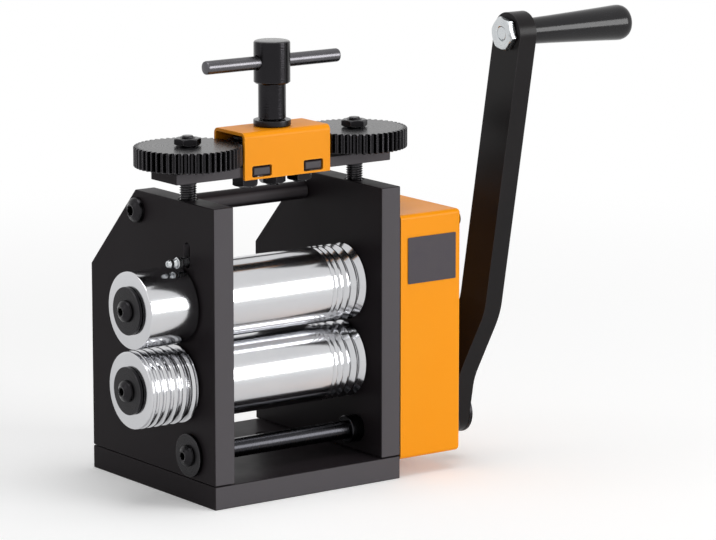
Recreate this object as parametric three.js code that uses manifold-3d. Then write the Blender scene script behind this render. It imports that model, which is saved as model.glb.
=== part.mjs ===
// Hand cranked jewellers rolling mill, bench model with 76 mm combination rolls.
// Millimetres, +Z up. Origin: centre of the base plate's underside.
// +X runs along the rolls towards the gearbox and crank, -Y is the operator's side.

import {
  BufferAttribute, BufferGeometry, BoxGeometry, Curve, ExtrudeGeometry, Group, LatheGeometry, Matrix4,
  Mesh, MeshStandardMaterial, Path, Shape, Vector2, Vector3,
} from "three";
import { mergeVertices } from "three/addons/utils/BufferGeometryUtils.js";
import Module from "manifold-3d";

const wasm = await Module();
wasm.setup();

// Driving dimensions: fits
const clearance = 0.3;          // gap kept between pieces that touch or slide on each other
const boltClearance = 0.3;      // radial gap of a screw in its hole

// Driving dimensions: frame
const rollSpace = 76;           // between the two side plates
const plateThickness = 10;
const frameDepth = 95;
const frameHeight = 128;
const baseThickness = 10;
const plateTopDepth = 59.5;     // level part of a side plate's top edge, from the front
const plateCornerDrop = 37;     // height of the sloping back corner
const benchHoleDiameter = 9;
const benchHoleSpacing = 50;
const benchHoleInset = 27.5;    // from the back edge
const baseScrewFrontInset = 35.5;       // front pair of base screws, from the front edge
const baseScrewBackInset = 13.5;        // back pair, from the back edge

// Driving dimensions: rolls
const rollSetback = 26.5;       // roll axes behind the plates' front edges
const lowerRollZ = 50;
const rollDiameter = 33;
const rollGap = 1;              // nip at rest
const closingTravel = 0.7;      // from rest down to nearly touching rolls
const openingTravel = 6;        // from rest up to the widest nip
const journalDiameter = 14;
const ringLength = 24;          // side rings outside the left plate
const ringPlateGap = 0.5;
const edgeChamfer = 0.6;
const wireGrooveWidths = [1.6, 2.2, 2.9, 3.9, 4.4];     // 90 degree grooves for square wire
const wireGrooveLand = 0.6;
const ringGrooveWidths = [2, 2.4, 2.8, 3.2, 3.6, 4];    // half-round grooves, smallest outside
const ringGrooveLand = 0.85;
const keySize = 3;
const ringKeyLength = 18;

// Driving dimensions: roll bearings
const bushWall = 3;
const blockWidth = 20;
const blockBelow = 9.5;         // from the roll axis to the block's lower face
const windowSkin = 2.5;         // plate left on the closed side of a bearing block's window
const windowLand = 13.2;        // plate above the window
const springSeatDepth = 8;      // space for the lift spring under a bearing block
const springWire = 1;
const springDiameter = 5.6;     // to the middle of the wire
const springTurns = 4;

// Driving dimensions: screws of the adjusting gear train
const fineModule = 0.875;
const sideGearTeeth = 50;
const idlerTeeth = 16;
const pinionTeeth = 16;
const fineGearWidth = 8.5;
const fineBacklash = 0.2;
const adjusterDiameter = 7.2;   // M8 thread at its pitch diameter
const spindleDiameter = 6;      // through the bridge bar
const hexAcrossFlats = 10;      // M6 nuts
const thinNutHeight = 3;
const nutHeight = 5;
const stubLength = 1;           // thread that stands past a nut
const axleHeadDiameter = 10;
const axleHeadHeight = 1.5;

// Driving dimensions: bridge bar and bracket
const bridgeLift = 8.3;         // bar's underside above the side plates at rest
const bridgeThickness = 4.5;
const bridgeLength = 110;
const gearBossHeight = 1.1;
const gearBossDiameter = 12;
const bracketLength = 44;
const bracketDepth = 23;
const bracketSheet = 1.5;
const bracketHeight = 20;
const bracketDrop = 1.1;        // flange edge below the bar
const bracketBend = 2.5;        // outer bend radius
const tabWidth = 9.6;
const tabSpacing = 26.4;

// Driving dimensions: T-handle
const collarDiameter = 16;
const collarHeight = 2.5;
const neckDiameter = 8;
const bushSleeveWall = 1.5;
const shankDiameter = 11.8;
const shankLength = 15.2;
const hubDiameter = 15.6;
const hubHeight = 18;
const crossBarDiameter = 5.8;
const crossBarLength = 68;
const crossBarChamfer = 0.8;

// Driving dimensions: crank gearing
const coarseModule = 1.25;
const driveGearTeeth = 35;
const crankPinionTeeth = 14;
const coarseBacklash = 0.3;
const driveGearWidth = 10;
const pinionOverhang = 1;       // pinion wider than the gear at each side
const rollGearTeeth = 10;       // deep teeth that stay in mesh while the nip opens
const rollGearWidth = 12;
const rollGearForm = [          // [radius, half width] from root to tip, as shares of the pitch radius
  [0.729, 0.1353], [0.853, 0.1206], [1, 0.1147], [1.2, 0.0471],
];
const upperHubWall = 2.5;
const shaftSetback = 8.5;       // crank shaft in front of the roll axes
const shaftDiameter = 8.2;
const shaftDriveDiameter = 10;
const shaftShoulderLength = 6;
const shaftShoulderDiameter = 12;
const pinionKeySize = 3;
const pinionHubDiameter = 15;

// Driving dimensions: gearbox cover
const coverWidth = 32.2;
const coverDepth = 53;
const coverBottomZ = 8;
const coverRise = 31;           // cover's top above the upper roll's axis
const coverWall = 1.5;
const coverCorner = 2;
const coverScrewInset = 5;
const coverScrewDiameter = 4;
const coverScrewHeadDiameter = 7.6;
const coverScrewHeadHeight = 2.2;
const coverScrewGrip = 8;
const coverScrewRise = 9;       // lower cover screws above the base plate's top

// Driving dimensions: crank
const armLength = 174;
const armLean = 10.8;           // degrees towards the operator at rest
const armWidth = 18;
const armThickness = 9;
const armOffset = 10;           // joggle that clears the knuckles from the gearbox
const joggleStart = 20;
const joggleEnd = 48.5;
const armBendRadius = 30;       // to the middle of the bar
const armRunGap = 3;            // arm to gearbox cover
const gripBoltDiameter = 6;
const gripNutAcrossFlats = 13;
const gripLength = 55;
const gripSmallDiameter = 11;
const gripLargeDiameter = 15.4;
const gripTaperEnd = 12;        // end of the taper, before the grip's outer end
const gripBoltRecess = 8;       // bolt's head seat, before the grip's outer end
const gripBoltHeadHeight = 3;
const gripBoltHeadRim = 1.8;    // head wider than the shank at each side

// Driving dimensions: fasteners
const screwDiameter = 5;
const screwHeadDiameter = 9.5;
const screwHeadHeight = 2.8;
const screwGrip = 10;           // thread length in the piece it holds to
const ringWasherDiameter = 20.4;
const shaftWasherDiameter = 18.4;
const washerThickness = 1.5;
const tieRodDiameter = 8;
const tieRodSetback = 57.5;     // behind the front edge
const tieRodDrop = 8.5;         // below the plates' top edges
const tieHeadDiameter = 11;
const tieHeadHeight = 3.6;
const baseScrewDiameter = 5;
const baseScrewHeadDiameter = 8.4;
const baseScrewLength = 24;
const nippleOffset = 6.5;       // in front of the upper roll's axis
const nippleDrop = 5.5;         // below the bearing block's top
const nippleLength = 10;        // outside the side plate
const nippleStemRadius = 2;
const nippleCollarPlace = 3.1;  // outside the side plate
const nippleCollarLength = 2.5;
const nippleCollarRadius = 2.6;
const nippleTipRadius = 1.7;
const nippleShankRadius = 1.5;
const nippleShankLength = 3.5;

// Facets per turn
const roundFacets = 24;
const smallFacets = 12;
const screwFacets = 8;

// Derived places shared by several pieces
const innerX = rollSpace / 2;
const outerX = innerX + plateThickness;
const frontY = -frameDepth / 2;
const backY = -frontY;
const rollY = frontY + rollSetback;
const rollRadius = rollDiameter / 2;
const upperRollZ = lowerRollZ + rollDiameter + rollGap;
const journalRadius = journalDiameter / 2;
const journalBore = journalRadius + clearance;
const windowDepth = plateThickness - windowSkin;
const blockThickness = windowDepth - clearance;
const nippleY = rollY - nippleOffset;
const windowBottomZ = upperRollZ - blockBelow - springSeatDepth;
const windowTopZ = frameHeight - windowLand;
const blockTopZ = windowTopZ - openingTravel - clearance;
const nippleZ = blockTopZ - nippleDrop;
const tieRodY = frontY + tieRodSetback;
const tieRodZ = frameHeight - tieRodDrop;

const fineRadius = (teeth) => (teeth * fineModule) / 2;
const idlerX = fineRadius(pinionTeeth) + fineRadius(idlerTeeth);
const adjusterX = idlerX + fineRadius(idlerTeeth) + fineRadius(sideGearTeeth);
const bridgeBottomZ = frameHeight + bridgeLift;
const bridgeTopZ = bridgeBottomZ + bridgeThickness;
const fineGearZ = bridgeTopZ + gearBossHeight + clearance;
const fineGearTopZ = fineGearZ + fineGearWidth;
const bracketBottomZ = bridgeBottomZ - bracketDrop;
const bracketTopZ = bracketBottomZ + bracketHeight;
const collarTopZ = bracketTopZ + clearance + collarHeight;
const shankBottomZ = collarTopZ + clearance;
const hubBottomZ = shankBottomZ + shankLength;

const coarseRadius = (teeth) => (teeth * coarseModule) / 2;
const gearCentres = coarseRadius(driveGearTeeth) + coarseRadius(crankPinionTeeth);
const shaftY = rollY - shaftSetback;
const shaftZ = lowerRollZ - Math.sqrt(gearCentres ** 2 - shaftSetback ** 2);
const driveGearX = outerX + pinionOverhang + 3 * clearance;
const rollGearX = driveGearX + driveGearWidth + pinionOverhang + 2 * clearance;
const journalEndX = rollGearX + rollGearWidth + clearance;
const coverTopZ = upperRollZ + coverRise;
const coverInnerX = outerX + clearance;
const coverOuterX = coverInnerX + coverWidth;
const armInnerX = coverOuterX + armRunGap;
const ringOuterX = outerX + ringPlateGap + ringLength;
const screwHoleDepth = screwGrip + 2 * clearance;
const tapRadius = screwDiameter / 2 + boltClearance;
const coverScrewBore = coverScrewDiameter / 2 + boltClearance;
const spindleBore = spindleDiameter / 2 + clearance;
const driveBore = shaftDriveDiameter / 2 + clearance;
const coverScrewFoot = baseThickness + coverScrewRise;

const finishes = {
  blackPaint: { color: 0x2b2627, roughness: 0.45, metalness: 0.1 },
  orangePaint: { color: 0xfd9f2b, roughness: 0.45, metalness: 0.0 },
  polishedSteel: { color: 0xd9d9db, roughness: 0.12, metalness: 1.0 },
  machinedSteel: { color: 0xa9abae, roughness: 0.35, metalness: 1.0 },
  blackOxide: { color: 0x2e2e31, roughness: 0.4, metalness: 0.8 },
  bronze: { color: 0xb08d57, roughness: 0.4, metalness: 1.0 },
  zinc: { color: 0xd0d3d4, roughness: 0.3, metalness: 1.0 },
  blackPlastic: { color: 0x1b1a1c, roughness: 0.25, metalness: 0.0 },
};

const alongX = new Matrix4().makeBasis(new Vector3(0, 1, 0), new Vector3(0, 0, 1), new Vector3(1, 0, 0));
const turnedAlongX = new Matrix4().makeRotationZ(-Math.PI / 2);
const turnedAlongZ = new Matrix4().makeRotationX(Math.PI / 2);

/** Merges shared vertices and drops the faces of zero area that a turned pole leaves. */
function weld(geometry) {
  const bare = geometry.clone();
  bare.deleteAttribute("normal");
  bare.deleteAttribute("uv");
  const merged = mergeVertices(bare, 1e-4);
  const index = merged.index.array;
  const kept = [];
  for (let i = 0; i < index.length; i += 3) {
    const [a, b, c] = [index[i], index[i + 1], index[i + 2]];
    if (a !== b && b !== c && c !== a) kept.push(a, b, c);
  }
  merged.setIndex(kept);
  return merged;
}

/** Turns a welded geometry into a solid for booleans. */
function toSolid(geometry) {
  const welded = weld(geometry);
  return new wasm.Manifold(new wasm.Mesh({
    numProp: 3,
    vertProperties: new Float32Array(welded.attributes.position.array),
    triVerts: new Uint32Array(welded.index.array),
  }));
}

/** Turns a solid back into a geometry. */
function toGeometry(solid) {
  const mesh = solid.getMesh();
  const geometry = new BufferGeometry();
  geometry.setAttribute("position", new BufferAttribute(new Float32Array(mesh.vertProperties), 3));
  geometry.setIndex(new BufferAttribute(new Uint32Array(mesh.triVerts), 1));
  return geometry;
}

/** Cuts the tools out of a blank. */
function cut(blank, ...tools) {
  const left = tools.reduce((solid, tool) => solid.subtract(toSolid(tool)), toSolid(blank));
  return toGeometry(left);
}

/** Joins forms that overlap or meet into one solid. */
function join(...forms) {
  return toGeometry(forms.map(toSolid).reduce((solid, form) => solid.add(form)));
}

/** Keeps what two forms share. */
function common(first, second) {
  return toGeometry(toSolid(first).intersect(toSolid(second)));
}

/** Extrudes a shape along Z, or along the third axis of the given basis. */
function prism(shape, length, basis, curveSegments = 6) {
  const geometry = new ExtrudeGeometry(shape, { depth: length, bevelEnabled: false, curveSegments });
  return basis ? geometry.applyMatrix4(basis) : geometry;
}

/** Revolves a profile of [radius, place along the axis] points round X or Z. */
function turned(profile, basis, facets) {
  const points = profile.map(([radius, along]) => new Vector2(radius, along));
  return new LatheGeometry(points, facets).applyMatrix4(basis);
}

/** A plain round bar from start to end along the axis of the basis. */
function bar(radius, start, end, basis, facets) {
  return turned([[0, start], [radius, start], [radius, end], [0, end]], basis, facets);
}

/** A tube, bush or washer from start to end along the axis of the basis. */
function sleeve(bore, radius, start, end, basis, facets) {
  return turned([[bore, start], [radius, start], [radius, end], [bore, end], [bore, start]], basis, facets);
}

/** A box given by its lowest and highest corners. */
function block(low, high) {
  const size = high.map((value, i) => value - low[i]);
  const centre = high.map((value, i) => (value + low[i]) / 2);
  return new BoxGeometry(...size).translate(...centre);
}

/** A hexagonal nut with its axis along the third axis of the basis, flats square to the second. */
function hexNut(acrossFlats, bore, height, basis) {
  const corner = acrossFlats / Math.sqrt(3);
  const shape = polygon(Array.from({ length: 6 }, (_, i) => polar(corner, (i * Math.PI) / 3)));
  shape.holes.push(roundHole(0, 0, bore));
  return prism(shape, height, basis, screwFacets / 2);
}

/** A button head screw along X, under its head at 0, with its shank towards -X. */
function buttonScrew({ length, diameter, headDiameter, headHeight }) {
  return turned([
    [0, -length], [diameter / 2, -length], [diameter / 2, 0], [headDiameter / 2, 0],
    [headDiameter / 2, headHeight * 0.35], [headDiameter * 0.3, headHeight], [0, headHeight],
  ], turnedAlongX, screwFacets);
}

/** An end screw made up with its washer, which lies from 0 outwards along X. */
function endScrew(washerDiameter) {
  const headDiameter = screwHeadDiameter;
  return turned([
    [0, -screwGrip], [screwDiameter / 2, -screwGrip], [screwDiameter / 2, 0], [washerDiameter / 2, 0],
    [washerDiameter / 2, washerThickness], [headDiameter / 2, washerThickness],
    [headDiameter / 2, washerThickness + screwHeadHeight * 0.35],
    [headDiameter * 0.3, washerThickness + screwHeadHeight], [0, washerThickness + screwHeadHeight],
  ], turnedAlongX, smallFacets);
}

/** The same piece turned round to face -X. */
function facingLeft(geometry) {
  return geometry.rotateZ(Math.PI);
}

/** Path of a round hole in a shape. */
function roundHole(x, y, radius) {
  return new Path().absarc(x, y, radius, 0, 2 * Math.PI, true);
}

function polar(radius, angle) {
  return [radius * Math.cos(angle), radius * Math.sin(angle)];
}

function polygon(points) {
  return new Shape(points.map(([x, y]) => new Vector2(x, y)));
}

/** Half the angle that an involute tooth fills at a radius. */
function toothHalfAngle(radius, teeth, module, backlash) {
  const pressureAngle = (20 * Math.PI) / 180;
  const pitchRadius = (teeth * module) / 2;
  const baseRadius = pitchRadius * Math.cos(pressureAngle);
  const involute = (angle) => Math.tan(angle) - angle;
  const rollAngle = Math.acos(Math.min(1, baseRadius / radius));
  return Math.PI / 2 / teeth - backlash / 2 / pitchRadius + involute(pressureAngle) - involute(rollAngle);
}

/** Outline of a gear from one tooth flank: [radius, half angle] from root to tip. */
function gearOutline(teeth, flank, phase) {
  const points = [];
  for (let tooth = 0; tooth < teeth; tooth += 1) {
    const centre = phase + (2 * Math.PI * tooth) / teeth;
    flank.forEach(([radius, half]) => points.push(polar(radius, centre - half)));
    [...flank].reverse().forEach(([radius, half]) => points.push(polar(radius, centre + half)));
  }
  return polygon(points);
}

/** Blank of a spur gear with standard involute teeth, one of them centred at the phase angle. */
function spurGear({ teeth, module, width, backlash, phase = 0, basis }) {
  const pitchRadius = (teeth * module) / 2;
  const radii = [pitchRadius - 1.25 * module, pitchRadius + module];
  const flank = radii.map((radius) => [radius, toothHalfAngle(radius, teeth, module, backlash)]);
  return prism(gearOutline(teeth, flank, phase), width, basis);
}

/** Makes a named mesh and puts it at a place in its group. */
function piece(name, geometry, finish, place = [0, 0, 0]) {
  const mesh = new Mesh(geometry, new MeshStandardMaterial(finishes[finish]));
  mesh.name = name;
  mesh.position.set(...place);
  return mesh;
}

function groupAt(place, ...meshes) {
  const group = new Group();
  group.position.set(...place);
  group.add(...meshes);
  return group;
}

/** Countersunk base screw, head flush with the underside, grown by a clearance for its hole. */
function baseScrew(x, y, grow = 0) {
  const shank = baseScrewDiameter / 2 + grow;
  const cone = baseScrewHeadDiameter / 2 + grow;
  const profile = [
    [0, -grow], [cone, -grow], [cone, clearance + grow], [shank, cone - shank + clearance + grow],
    [shank, baseScrewLength + grow], [0, baseScrewLength + grow],
  ];
  return turned(profile, turnedAlongZ, screwFacets).translate(x, y, grow ? 0 : clearance / 2);
}

const baseScrewPlaces = [-outerX + plateThickness / 2, outerX - plateThickness / 2]
  .flatMap((x) => [frontY + baseScrewFrontInset, backY - baseScrewBackInset].map((y) => [x, y]));

function basePlate() {
  const blank = block([-outerX, frontY, 0], [outerX, backY, baseThickness]);
  const screwHoles = baseScrewPlaces.map(([x, y]) => baseScrew(x, y, boltClearance));
  const benchHole = bar(benchHoleDiameter / 2, -1, baseThickness + 1, turnedAlongZ, smallFacets);
  const benchHoles = [-1, 1].map((side) => benchHole.clone()
    .translate((side * benchHoleSpacing) / 2, backY - benchHoleInset, 0));
  return cut(blank, ...screwHoles, ...benchHoles);
}

/** Side plate outline in Y and Z, with its level top, sloping back corner and bores. */
function plateShape(shaftBore) {
  const shape = polygon([
    [frontY, baseThickness + clearance], [backY, baseThickness + clearance],
    [backY, frameHeight - plateCornerDrop], [frontY + plateTopDepth, frameHeight], [frontY, frameHeight],
  ]);
  const bores = [
    [rollY, lowerRollZ, journalBore + bushWall + clearance],
    [shaftY, shaftZ, shaftBore],
    [tieRodY, tieRodZ, screwDiameter / 2 + boltClearance],
  ];
  shape.holes.push(...bores.map((bore) => roundHole(...bore)));
  return shape;
}

/** Upright round-ended slot through a window's skin, as long as the upper roll's travel. */
function skinSlot(start, y, z, radius) {
  const shape = new Shape().absarc(y, z - closingTravel, radius, Math.PI, 2 * Math.PI)
    .absarc(y, z + openingTravel, radius, 0, Math.PI);
  return prism(shape, windowSkin + 2, alongX, smallFacets / 2).translate(start - 1, 0, 0);
}

/** Window for a bearing block in the plate that starts at a place along X, closed on its left by a skin. */
function blockWindow(start) {
  const half = blockWidth / 2 + clearance;
  return block(
    [start + windowSkin, rollY - half, windowBottomZ],
    [start + plateThickness + 1, rollY + half, windowTopZ],
  );
}

function sidePlate(side) {
  const start = side < 0 ? -outerX : innerX;
  const shaftBore = (side < 0 ? shaftDiameter : shaftDriveDiameter) / 2 + clearance;
  const blank = prism(plateShape(shaftBore), plateThickness, alongX, smallFacets / 2).translate(start, 0, 0);
  const adjusterBore = adjusterDiameter / 2 + clearance;
  const adjusterLowZ = blockTopZ - closingTravel;
  const adjusterHole = bar(adjusterBore, adjusterLowZ, frameHeight + 1, turnedAlongZ, smallFacets)
    .translate(side * adjusterX, rollY, 0);
  const screws = baseScrewPlaces.filter(([x]) => x * side > 0)
    .map(([x, y]) => baseScrew(x, y, boltClearance));
  const journalSlot = skinSlot(start, rollY, upperRollZ, journalBore);
  const sideCuts = side < 0
    ? [skinSlot(start, nippleY, nippleZ, nippleStemRadius + clearance)]
    : coverScrewPlaces.map(coverScrewHole);
  return cut(blank, blockWindow(start), journalSlot, adjusterHole, ...screws, ...sideCuts);
}

/** Oil nipple of the left bearing block, seated on the block and standing out through the plate's slot. */
function oilNipple() {
  const face = windowSkin + clearance;
  const tip = face + nippleLength;
  const collarStart = face + nippleCollarPlace;
  const collarEnd = collarStart + nippleCollarLength;
  return facingLeft(turned([
    [0, -nippleShankLength], [nippleShankRadius, -nippleShankLength], [nippleShankRadius, clearance],
    [nippleStemRadius, clearance], [nippleStemRadius, collarStart - 0.5], [nippleCollarRadius, collarStart],
    [nippleCollarRadius, collarEnd], [nippleTipRadius + 0.2, collarEnd + 0.6], [nippleTipRadius, tip - 0.8],
    [1, tip], [0, tip],
  ], turnedAlongX, screwFacets));
}

function tieRod() {
  const length = rollSpace - 2 * clearance;
  const rod = bar(tieRodDiameter / 2, -length / 2, length / 2, turnedAlongX, smallFacets);
  const tap = bar(tapRadius, length / 2 - screwHoleDepth, length / 2 + 1, turnedAlongX, screwFacets);
  return cut(rod, tap, facingLeft(tap.clone()));
}

function tieScrew() {
  return buttonScrew({
    length: plateThickness + 2 * clearance + screwGrip, diameter: screwDiameter,
    headDiameter: tieHeadDiameter, headHeight: tieHeadHeight,
  });
}

/** Profile of 90 degree grooves along a roll, listed from the drive end inwards. */
function wireGrooves(radius, end) {
  const points = [];
  let place = end - wireGrooveLand;
  [...wireGrooveWidths].reverse().forEach((width) => {
    points.push([radius, place], [radius - width / 2, place - width / 2], [radius, place - width]);
    place -= width + wireGrooveLand;
  });
  return points.reverse();
}

/** Turned roll with both journals, its flat stretch and its wire grooves. */
function rollBlank() {
  const end = rollSpace / 2 - clearance;
  const left = -(ringOuterX - clearance);
  return turned([
    [0, left], [journalRadius - edgeChamfer, left], [journalRadius, left + edgeChamfer],
    [journalRadius, -end], [rollRadius - edgeChamfer, -end], [rollRadius, -end + edgeChamfer],
    ...wireGrooves(rollRadius, end),
    [rollRadius - edgeChamfer, end], [journalRadius, end],
    [journalRadius, journalEndX - edgeChamfer], [journalRadius - edgeChamfer, journalEndX], [0, journalEndX],
  ], turnedAlongX, roundFacets);
}

/** A key half sunk in the top of a shaft along X, or the keyway round it when grown by a clearance. */
function keyForm(size, radius, start, end, grow = 0) {
  const half = size / 2 + grow;
  return block([start - grow, -half, radius - half], [end + grow, half, radius + half]);
}

const ringKeySpan = [-(ringOuterX - 3), -(ringOuterX - 3) + ringKeyLength];
const lowerKeySpan = [driveGearX + 1, journalEndX - 2];
const upperKeySpan = [rollGearX + 1, journalEndX - 2];

/** Roll with its journals keyed for the side ring and for its gears. */
function roll(gearKeySpan) {
  const ringTapEnd = -ringOuterX + screwHoleDepth + clearance;
  const taps = [
    bar(tapRadius, journalEndX - screwHoleDepth, journalEndX + 1, turnedAlongX, screwFacets),
    bar(tapRadius, -ringOuterX - 1, ringTapEnd, turnedAlongX, screwFacets),
  ];
  const keys = [ringKeySpan, gearKeySpan].map(([start, end]) => keyForm(keySize, journalRadius, start, end));
  return join(cut(rollBlank(), ...taps), ...keys);
}

/** Side ring with its keyway; a list of widths cuts half-round grooves, the first one outermost. */
function sideRing(grooveWidths) {
  const start = -ringOuterX;
  const end = start + ringLength;
  const profile = [
    [journalBore, start], [rollRadius - edgeChamfer, start], [rollRadius, start + edgeChamfer],
  ];
  let place = start + ringGrooveLand;
  grooveWidths.forEach((width) => {
    const arcSteps = 3;
    for (let step = 0; step <= arcSteps; step += 1) {
      const angle = (Math.PI * step) / arcSteps;
      const along = place + (width / 2) * (1 - Math.cos(angle));
      profile.push([rollRadius - (width / 2) * Math.sin(angle), along]);
    }
    place += width + ringGrooveLand;
  });
  profile.push([rollRadius, end - edgeChamfer], [rollRadius - edgeChamfer, end]);
  profile.push([journalBore, end], [journalBore, start]);
  const keyway = keyForm(keySize, journalRadius, start - 1, end + 1, clearance);
  return cut(turned(profile, turnedAlongX, roundFacets), keyway);
}

/** Bores a gear for its roll journal and cuts its keyway. */
function boredForJournal(blank, start, end) {
  const bore = bar(journalBore, start - 1, end + 1, turnedAlongX, smallFacets);
  return cut(blank, bore, keyForm(keySize, journalRadius, start - 1, end + 1, clearance));
}

/** Angle in the Y-Z plane from the lower roll's axis to the crank shaft. */
const meshAngle = Math.atan2(shaftZ - lowerRollZ, shaftY - rollY);

function driveGear() {
  const blank = spurGear({
    teeth: driveGearTeeth, module: coarseModule, width: driveGearWidth, backlash: coarseBacklash,
    phase: meshAngle, basis: alongX,
  }).translate(driveGearX, 0, 0);
  return boredForJournal(blank, driveGearX, driveGearX + driveGearWidth);
}

/** Blank of the deep toothed gears that couple the rolls and stay in mesh while the nip opens. */
function rollGearBlank(phase) {
  const pitchRadius = (upperRollZ - lowerRollZ) / 2;
  const flank = rollGearForm.map(([share, half]) => {
    return [pitchRadius * share, Math.asin(half / share)];
  });
  return prism(gearOutline(rollGearTeeth, flank, phase), rollGearWidth, alongX).translate(rollGearX, 0, 0);
}

function lowerRollGear() {
  return boredForJournal(rollGearBlank(Math.PI / 2), rollGearX, rollGearX + rollGearWidth);
}

/** Upper roll's gear, whose long hub fills the place of the drive gear below. */
function upperRollGear() {
  const start = outerX + clearance;
  const hub = bar(journalBore + upperHubWall, start, rollGearX + 1, turnedAlongX, smallFacets);
  const blank = join(rollGearBlank(-Math.PI / 2 + Math.PI / rollGearTeeth), hub);
  return boredForJournal(blank, start, rollGearX + rollGearWidth);
}

function rollBush() {
  return sleeve(journalBore, journalBore + bushWall, 0, plateThickness, turnedAlongX, smallFacets);
}

/** Bearing block that slides up and down in a side plate's window, with the roll's axis at its origin. */
function bearingBlock() {
  const half = blockWidth / 2;
  const top = blockTopZ - upperRollZ;
  const shape = polygon([[-half, -blockBelow], [half, -blockBelow], [half, top], [-half, top]]);
  shape.holes.push(roundHole(0, 0, journalBore));
  return prism(shape, blockThickness, alongX, smallFacets / 2);
}

/** Left block, tapped in its outer face for the oil nipple. */
function bearingBlockLeft() {
  const depth = nippleShankLength + clearance;
  const tap = bar(nippleShankRadius + clearance, -1, depth, turnedAlongX, screwFacets);
  return cut(bearingBlock(), tap.translate(0, nippleY - rollY, nippleZ - upperRollZ));
}

/** Helix of the lift spring, from its lower end. */
class SpringPath extends Curve {
  constructor(radius, height, turns) {
    super();
    Object.assign(this, { radius, height, turns });
  }

  getPoint(t, target = new Vector3()) {
    const angle = 2 * Math.PI * this.turns * t;
    return target.set(this.radius * Math.cos(angle), this.radius * Math.sin(angle), this.height * t);
  }
}

function liftSpring() {
  const height = springSeatDepth - springWire - 2 * clearance;
  const section = polygon(Array.from({ length: 5 }, (_, i) => polar(springWire / 2, (i * 2 * Math.PI) / 5)));
  const path = new SpringPath(springDiameter / 2, height, springTurns);
  return new ExtrudeGeometry(section, { steps: springTurns * 8, extrudePath: path, bevelEnabled: false });
}

/** Bridge bar with its tabs and the five spindle holes. */
function bridgeBar() {
  const flat = bracketDepth / 2 - bracketSheet - clearance;
  const tip = bracketDepth / 2;
  const ends = bridgeLength / 2;
  const tabEdges = [-1, 1]
    .flatMap((side) => [-1, 1].map((edge) => (side * tabSpacing + edge * tabWidth) / 2));
  const front = tabEdges.map((x, i) => [[x, i % 2 ? -tip : -flat], [x, i % 2 ? -flat : -tip]]).flat();
  const back = front.map(([x, y]) => [x, -y]).reverse();
  const shape = polygon([[-ends, -flat], ...front, [ends, -flat], [ends, flat], ...back, [-ends, flat]]);
  shape.holes.push(...spindleXs.map((x) => roundHole(x, 0, spindleBore)));
  return prism(shape, bridgeThickness, null, screwFacets / 2);
}

const spindleXs = [-adjusterX, -idlerX, 0, idlerX, adjusterX];

/** Bent sheet bracket over the small gears, with slots for the bar's tabs. */
function gearBracket() {
  const outline = (half, height, radius) => new Shape()
    .moveTo(-half, 0).lineTo(half, 0).lineTo(half, height - radius)
    .absarc(half - radius, height - radius, radius, 0, Math.PI / 2)
    .lineTo(-half + radius, height)
    .absarc(-half + radius, height - radius, radius, Math.PI / 2, Math.PI);
  const half = bracketDepth / 2;
  const outer = prism(outline(half, bracketHeight, bracketBend), bracketLength, alongX, 3);
  const inside = outline(half - bracketSheet, bracketHeight - bracketSheet + 1, bracketBend - bracketSheet);
  const inner = prism(inside, bracketLength + 2, alongX, 3).translate(-1, 0, -1);
  const slotTop = bracketDrop + bridgeThickness + clearance;
  const slots = [-1, 1].map((side) => {
    const middle = (bracketLength + side * tabSpacing) / 2;
    const reach = tabWidth / 2 + clearance;
    return block([middle - reach, -half - 1, bracketDrop - clearance], [middle + reach, half + 1, slotTop]);
  });
  const holeRadius = neckDiameter / 2 + 2 * clearance + bushSleeveWall;
  const hole = bar(holeRadius, bracketHeight - 5, bracketHeight + 1, turnedAlongZ, smallFacets)
    .translate(bracketLength / 2, 0, 0);
  return cut(outer, inner, ...slots, hole);
}

/** Flanged bush for the T-handle, seated on the bracket. */
function handleBush() {
  const bore = neckDiameter / 2 + clearance;
  const flangeBottom = bracketTopZ + clearance;
  const sleeveBottom = bracketTopZ - bracketSheet - 0.4;
  return turned([
    [bore, sleeveBottom], [bore + bushSleeveWall, sleeveBottom], [bore + bushSleeveWall, flangeBottom],
    [collarDiameter / 2, flangeBottom], [collarDiameter / 2, collarTopZ - 0.4],
    [collarDiameter / 2 - 0.4, collarTopZ], [bore, collarTopZ], [bore, sleeveBottom],
  ], turnedAlongZ, smallFacets);
}

const stubBottomZ = bridgeBottomZ - clearance - nutHeight - stubLength;

/** T-handle spindle: stub for the nut, pinion seat, neck, shank and hub in one turned piece. */
function handleSpindle() {
  const hubTopZ = hubBottomZ + hubHeight;
  const blank = turned([
    [0, stubBottomZ], [spindleDiameter / 2, stubBottomZ], [spindleDiameter / 2, fineGearTopZ + clearance],
    [neckDiameter / 2, fineGearTopZ + clearance], [neckDiameter / 2, shankBottomZ],
    [shankDiameter / 2, shankBottomZ], [shankDiameter / 2, hubBottomZ - 0.6],
    [hubDiameter / 2 - 0.6, hubBottomZ], [hubDiameter / 2, hubBottomZ + 0.6],
    [hubDiameter / 2, hubTopZ - 0.8], [hubDiameter / 2 - 0.8, hubTopZ], [0, hubTopZ],
  ], turnedAlongZ, smallFacets);
  const reach = hubDiameter;
  const crossHole = bar(crossBarDiameter / 2 + clearance, -reach, reach, turnedAlongX, smallFacets)
    .translate(0, 0, hubBottomZ + hubHeight / 2);
  return cut(blank, crossHole);
}

function crossBar() {
  const radius = crossBarDiameter / 2;
  const end = crossBarLength / 2;
  return turned([
    [0, -end], [radius - crossBarChamfer, -end], [radius, crossBarChamfer - end],
    [radius, end - crossBarChamfer], [radius - crossBarChamfer, end], [0, end],
  ], turnedAlongX, smallFacets);
}

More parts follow.
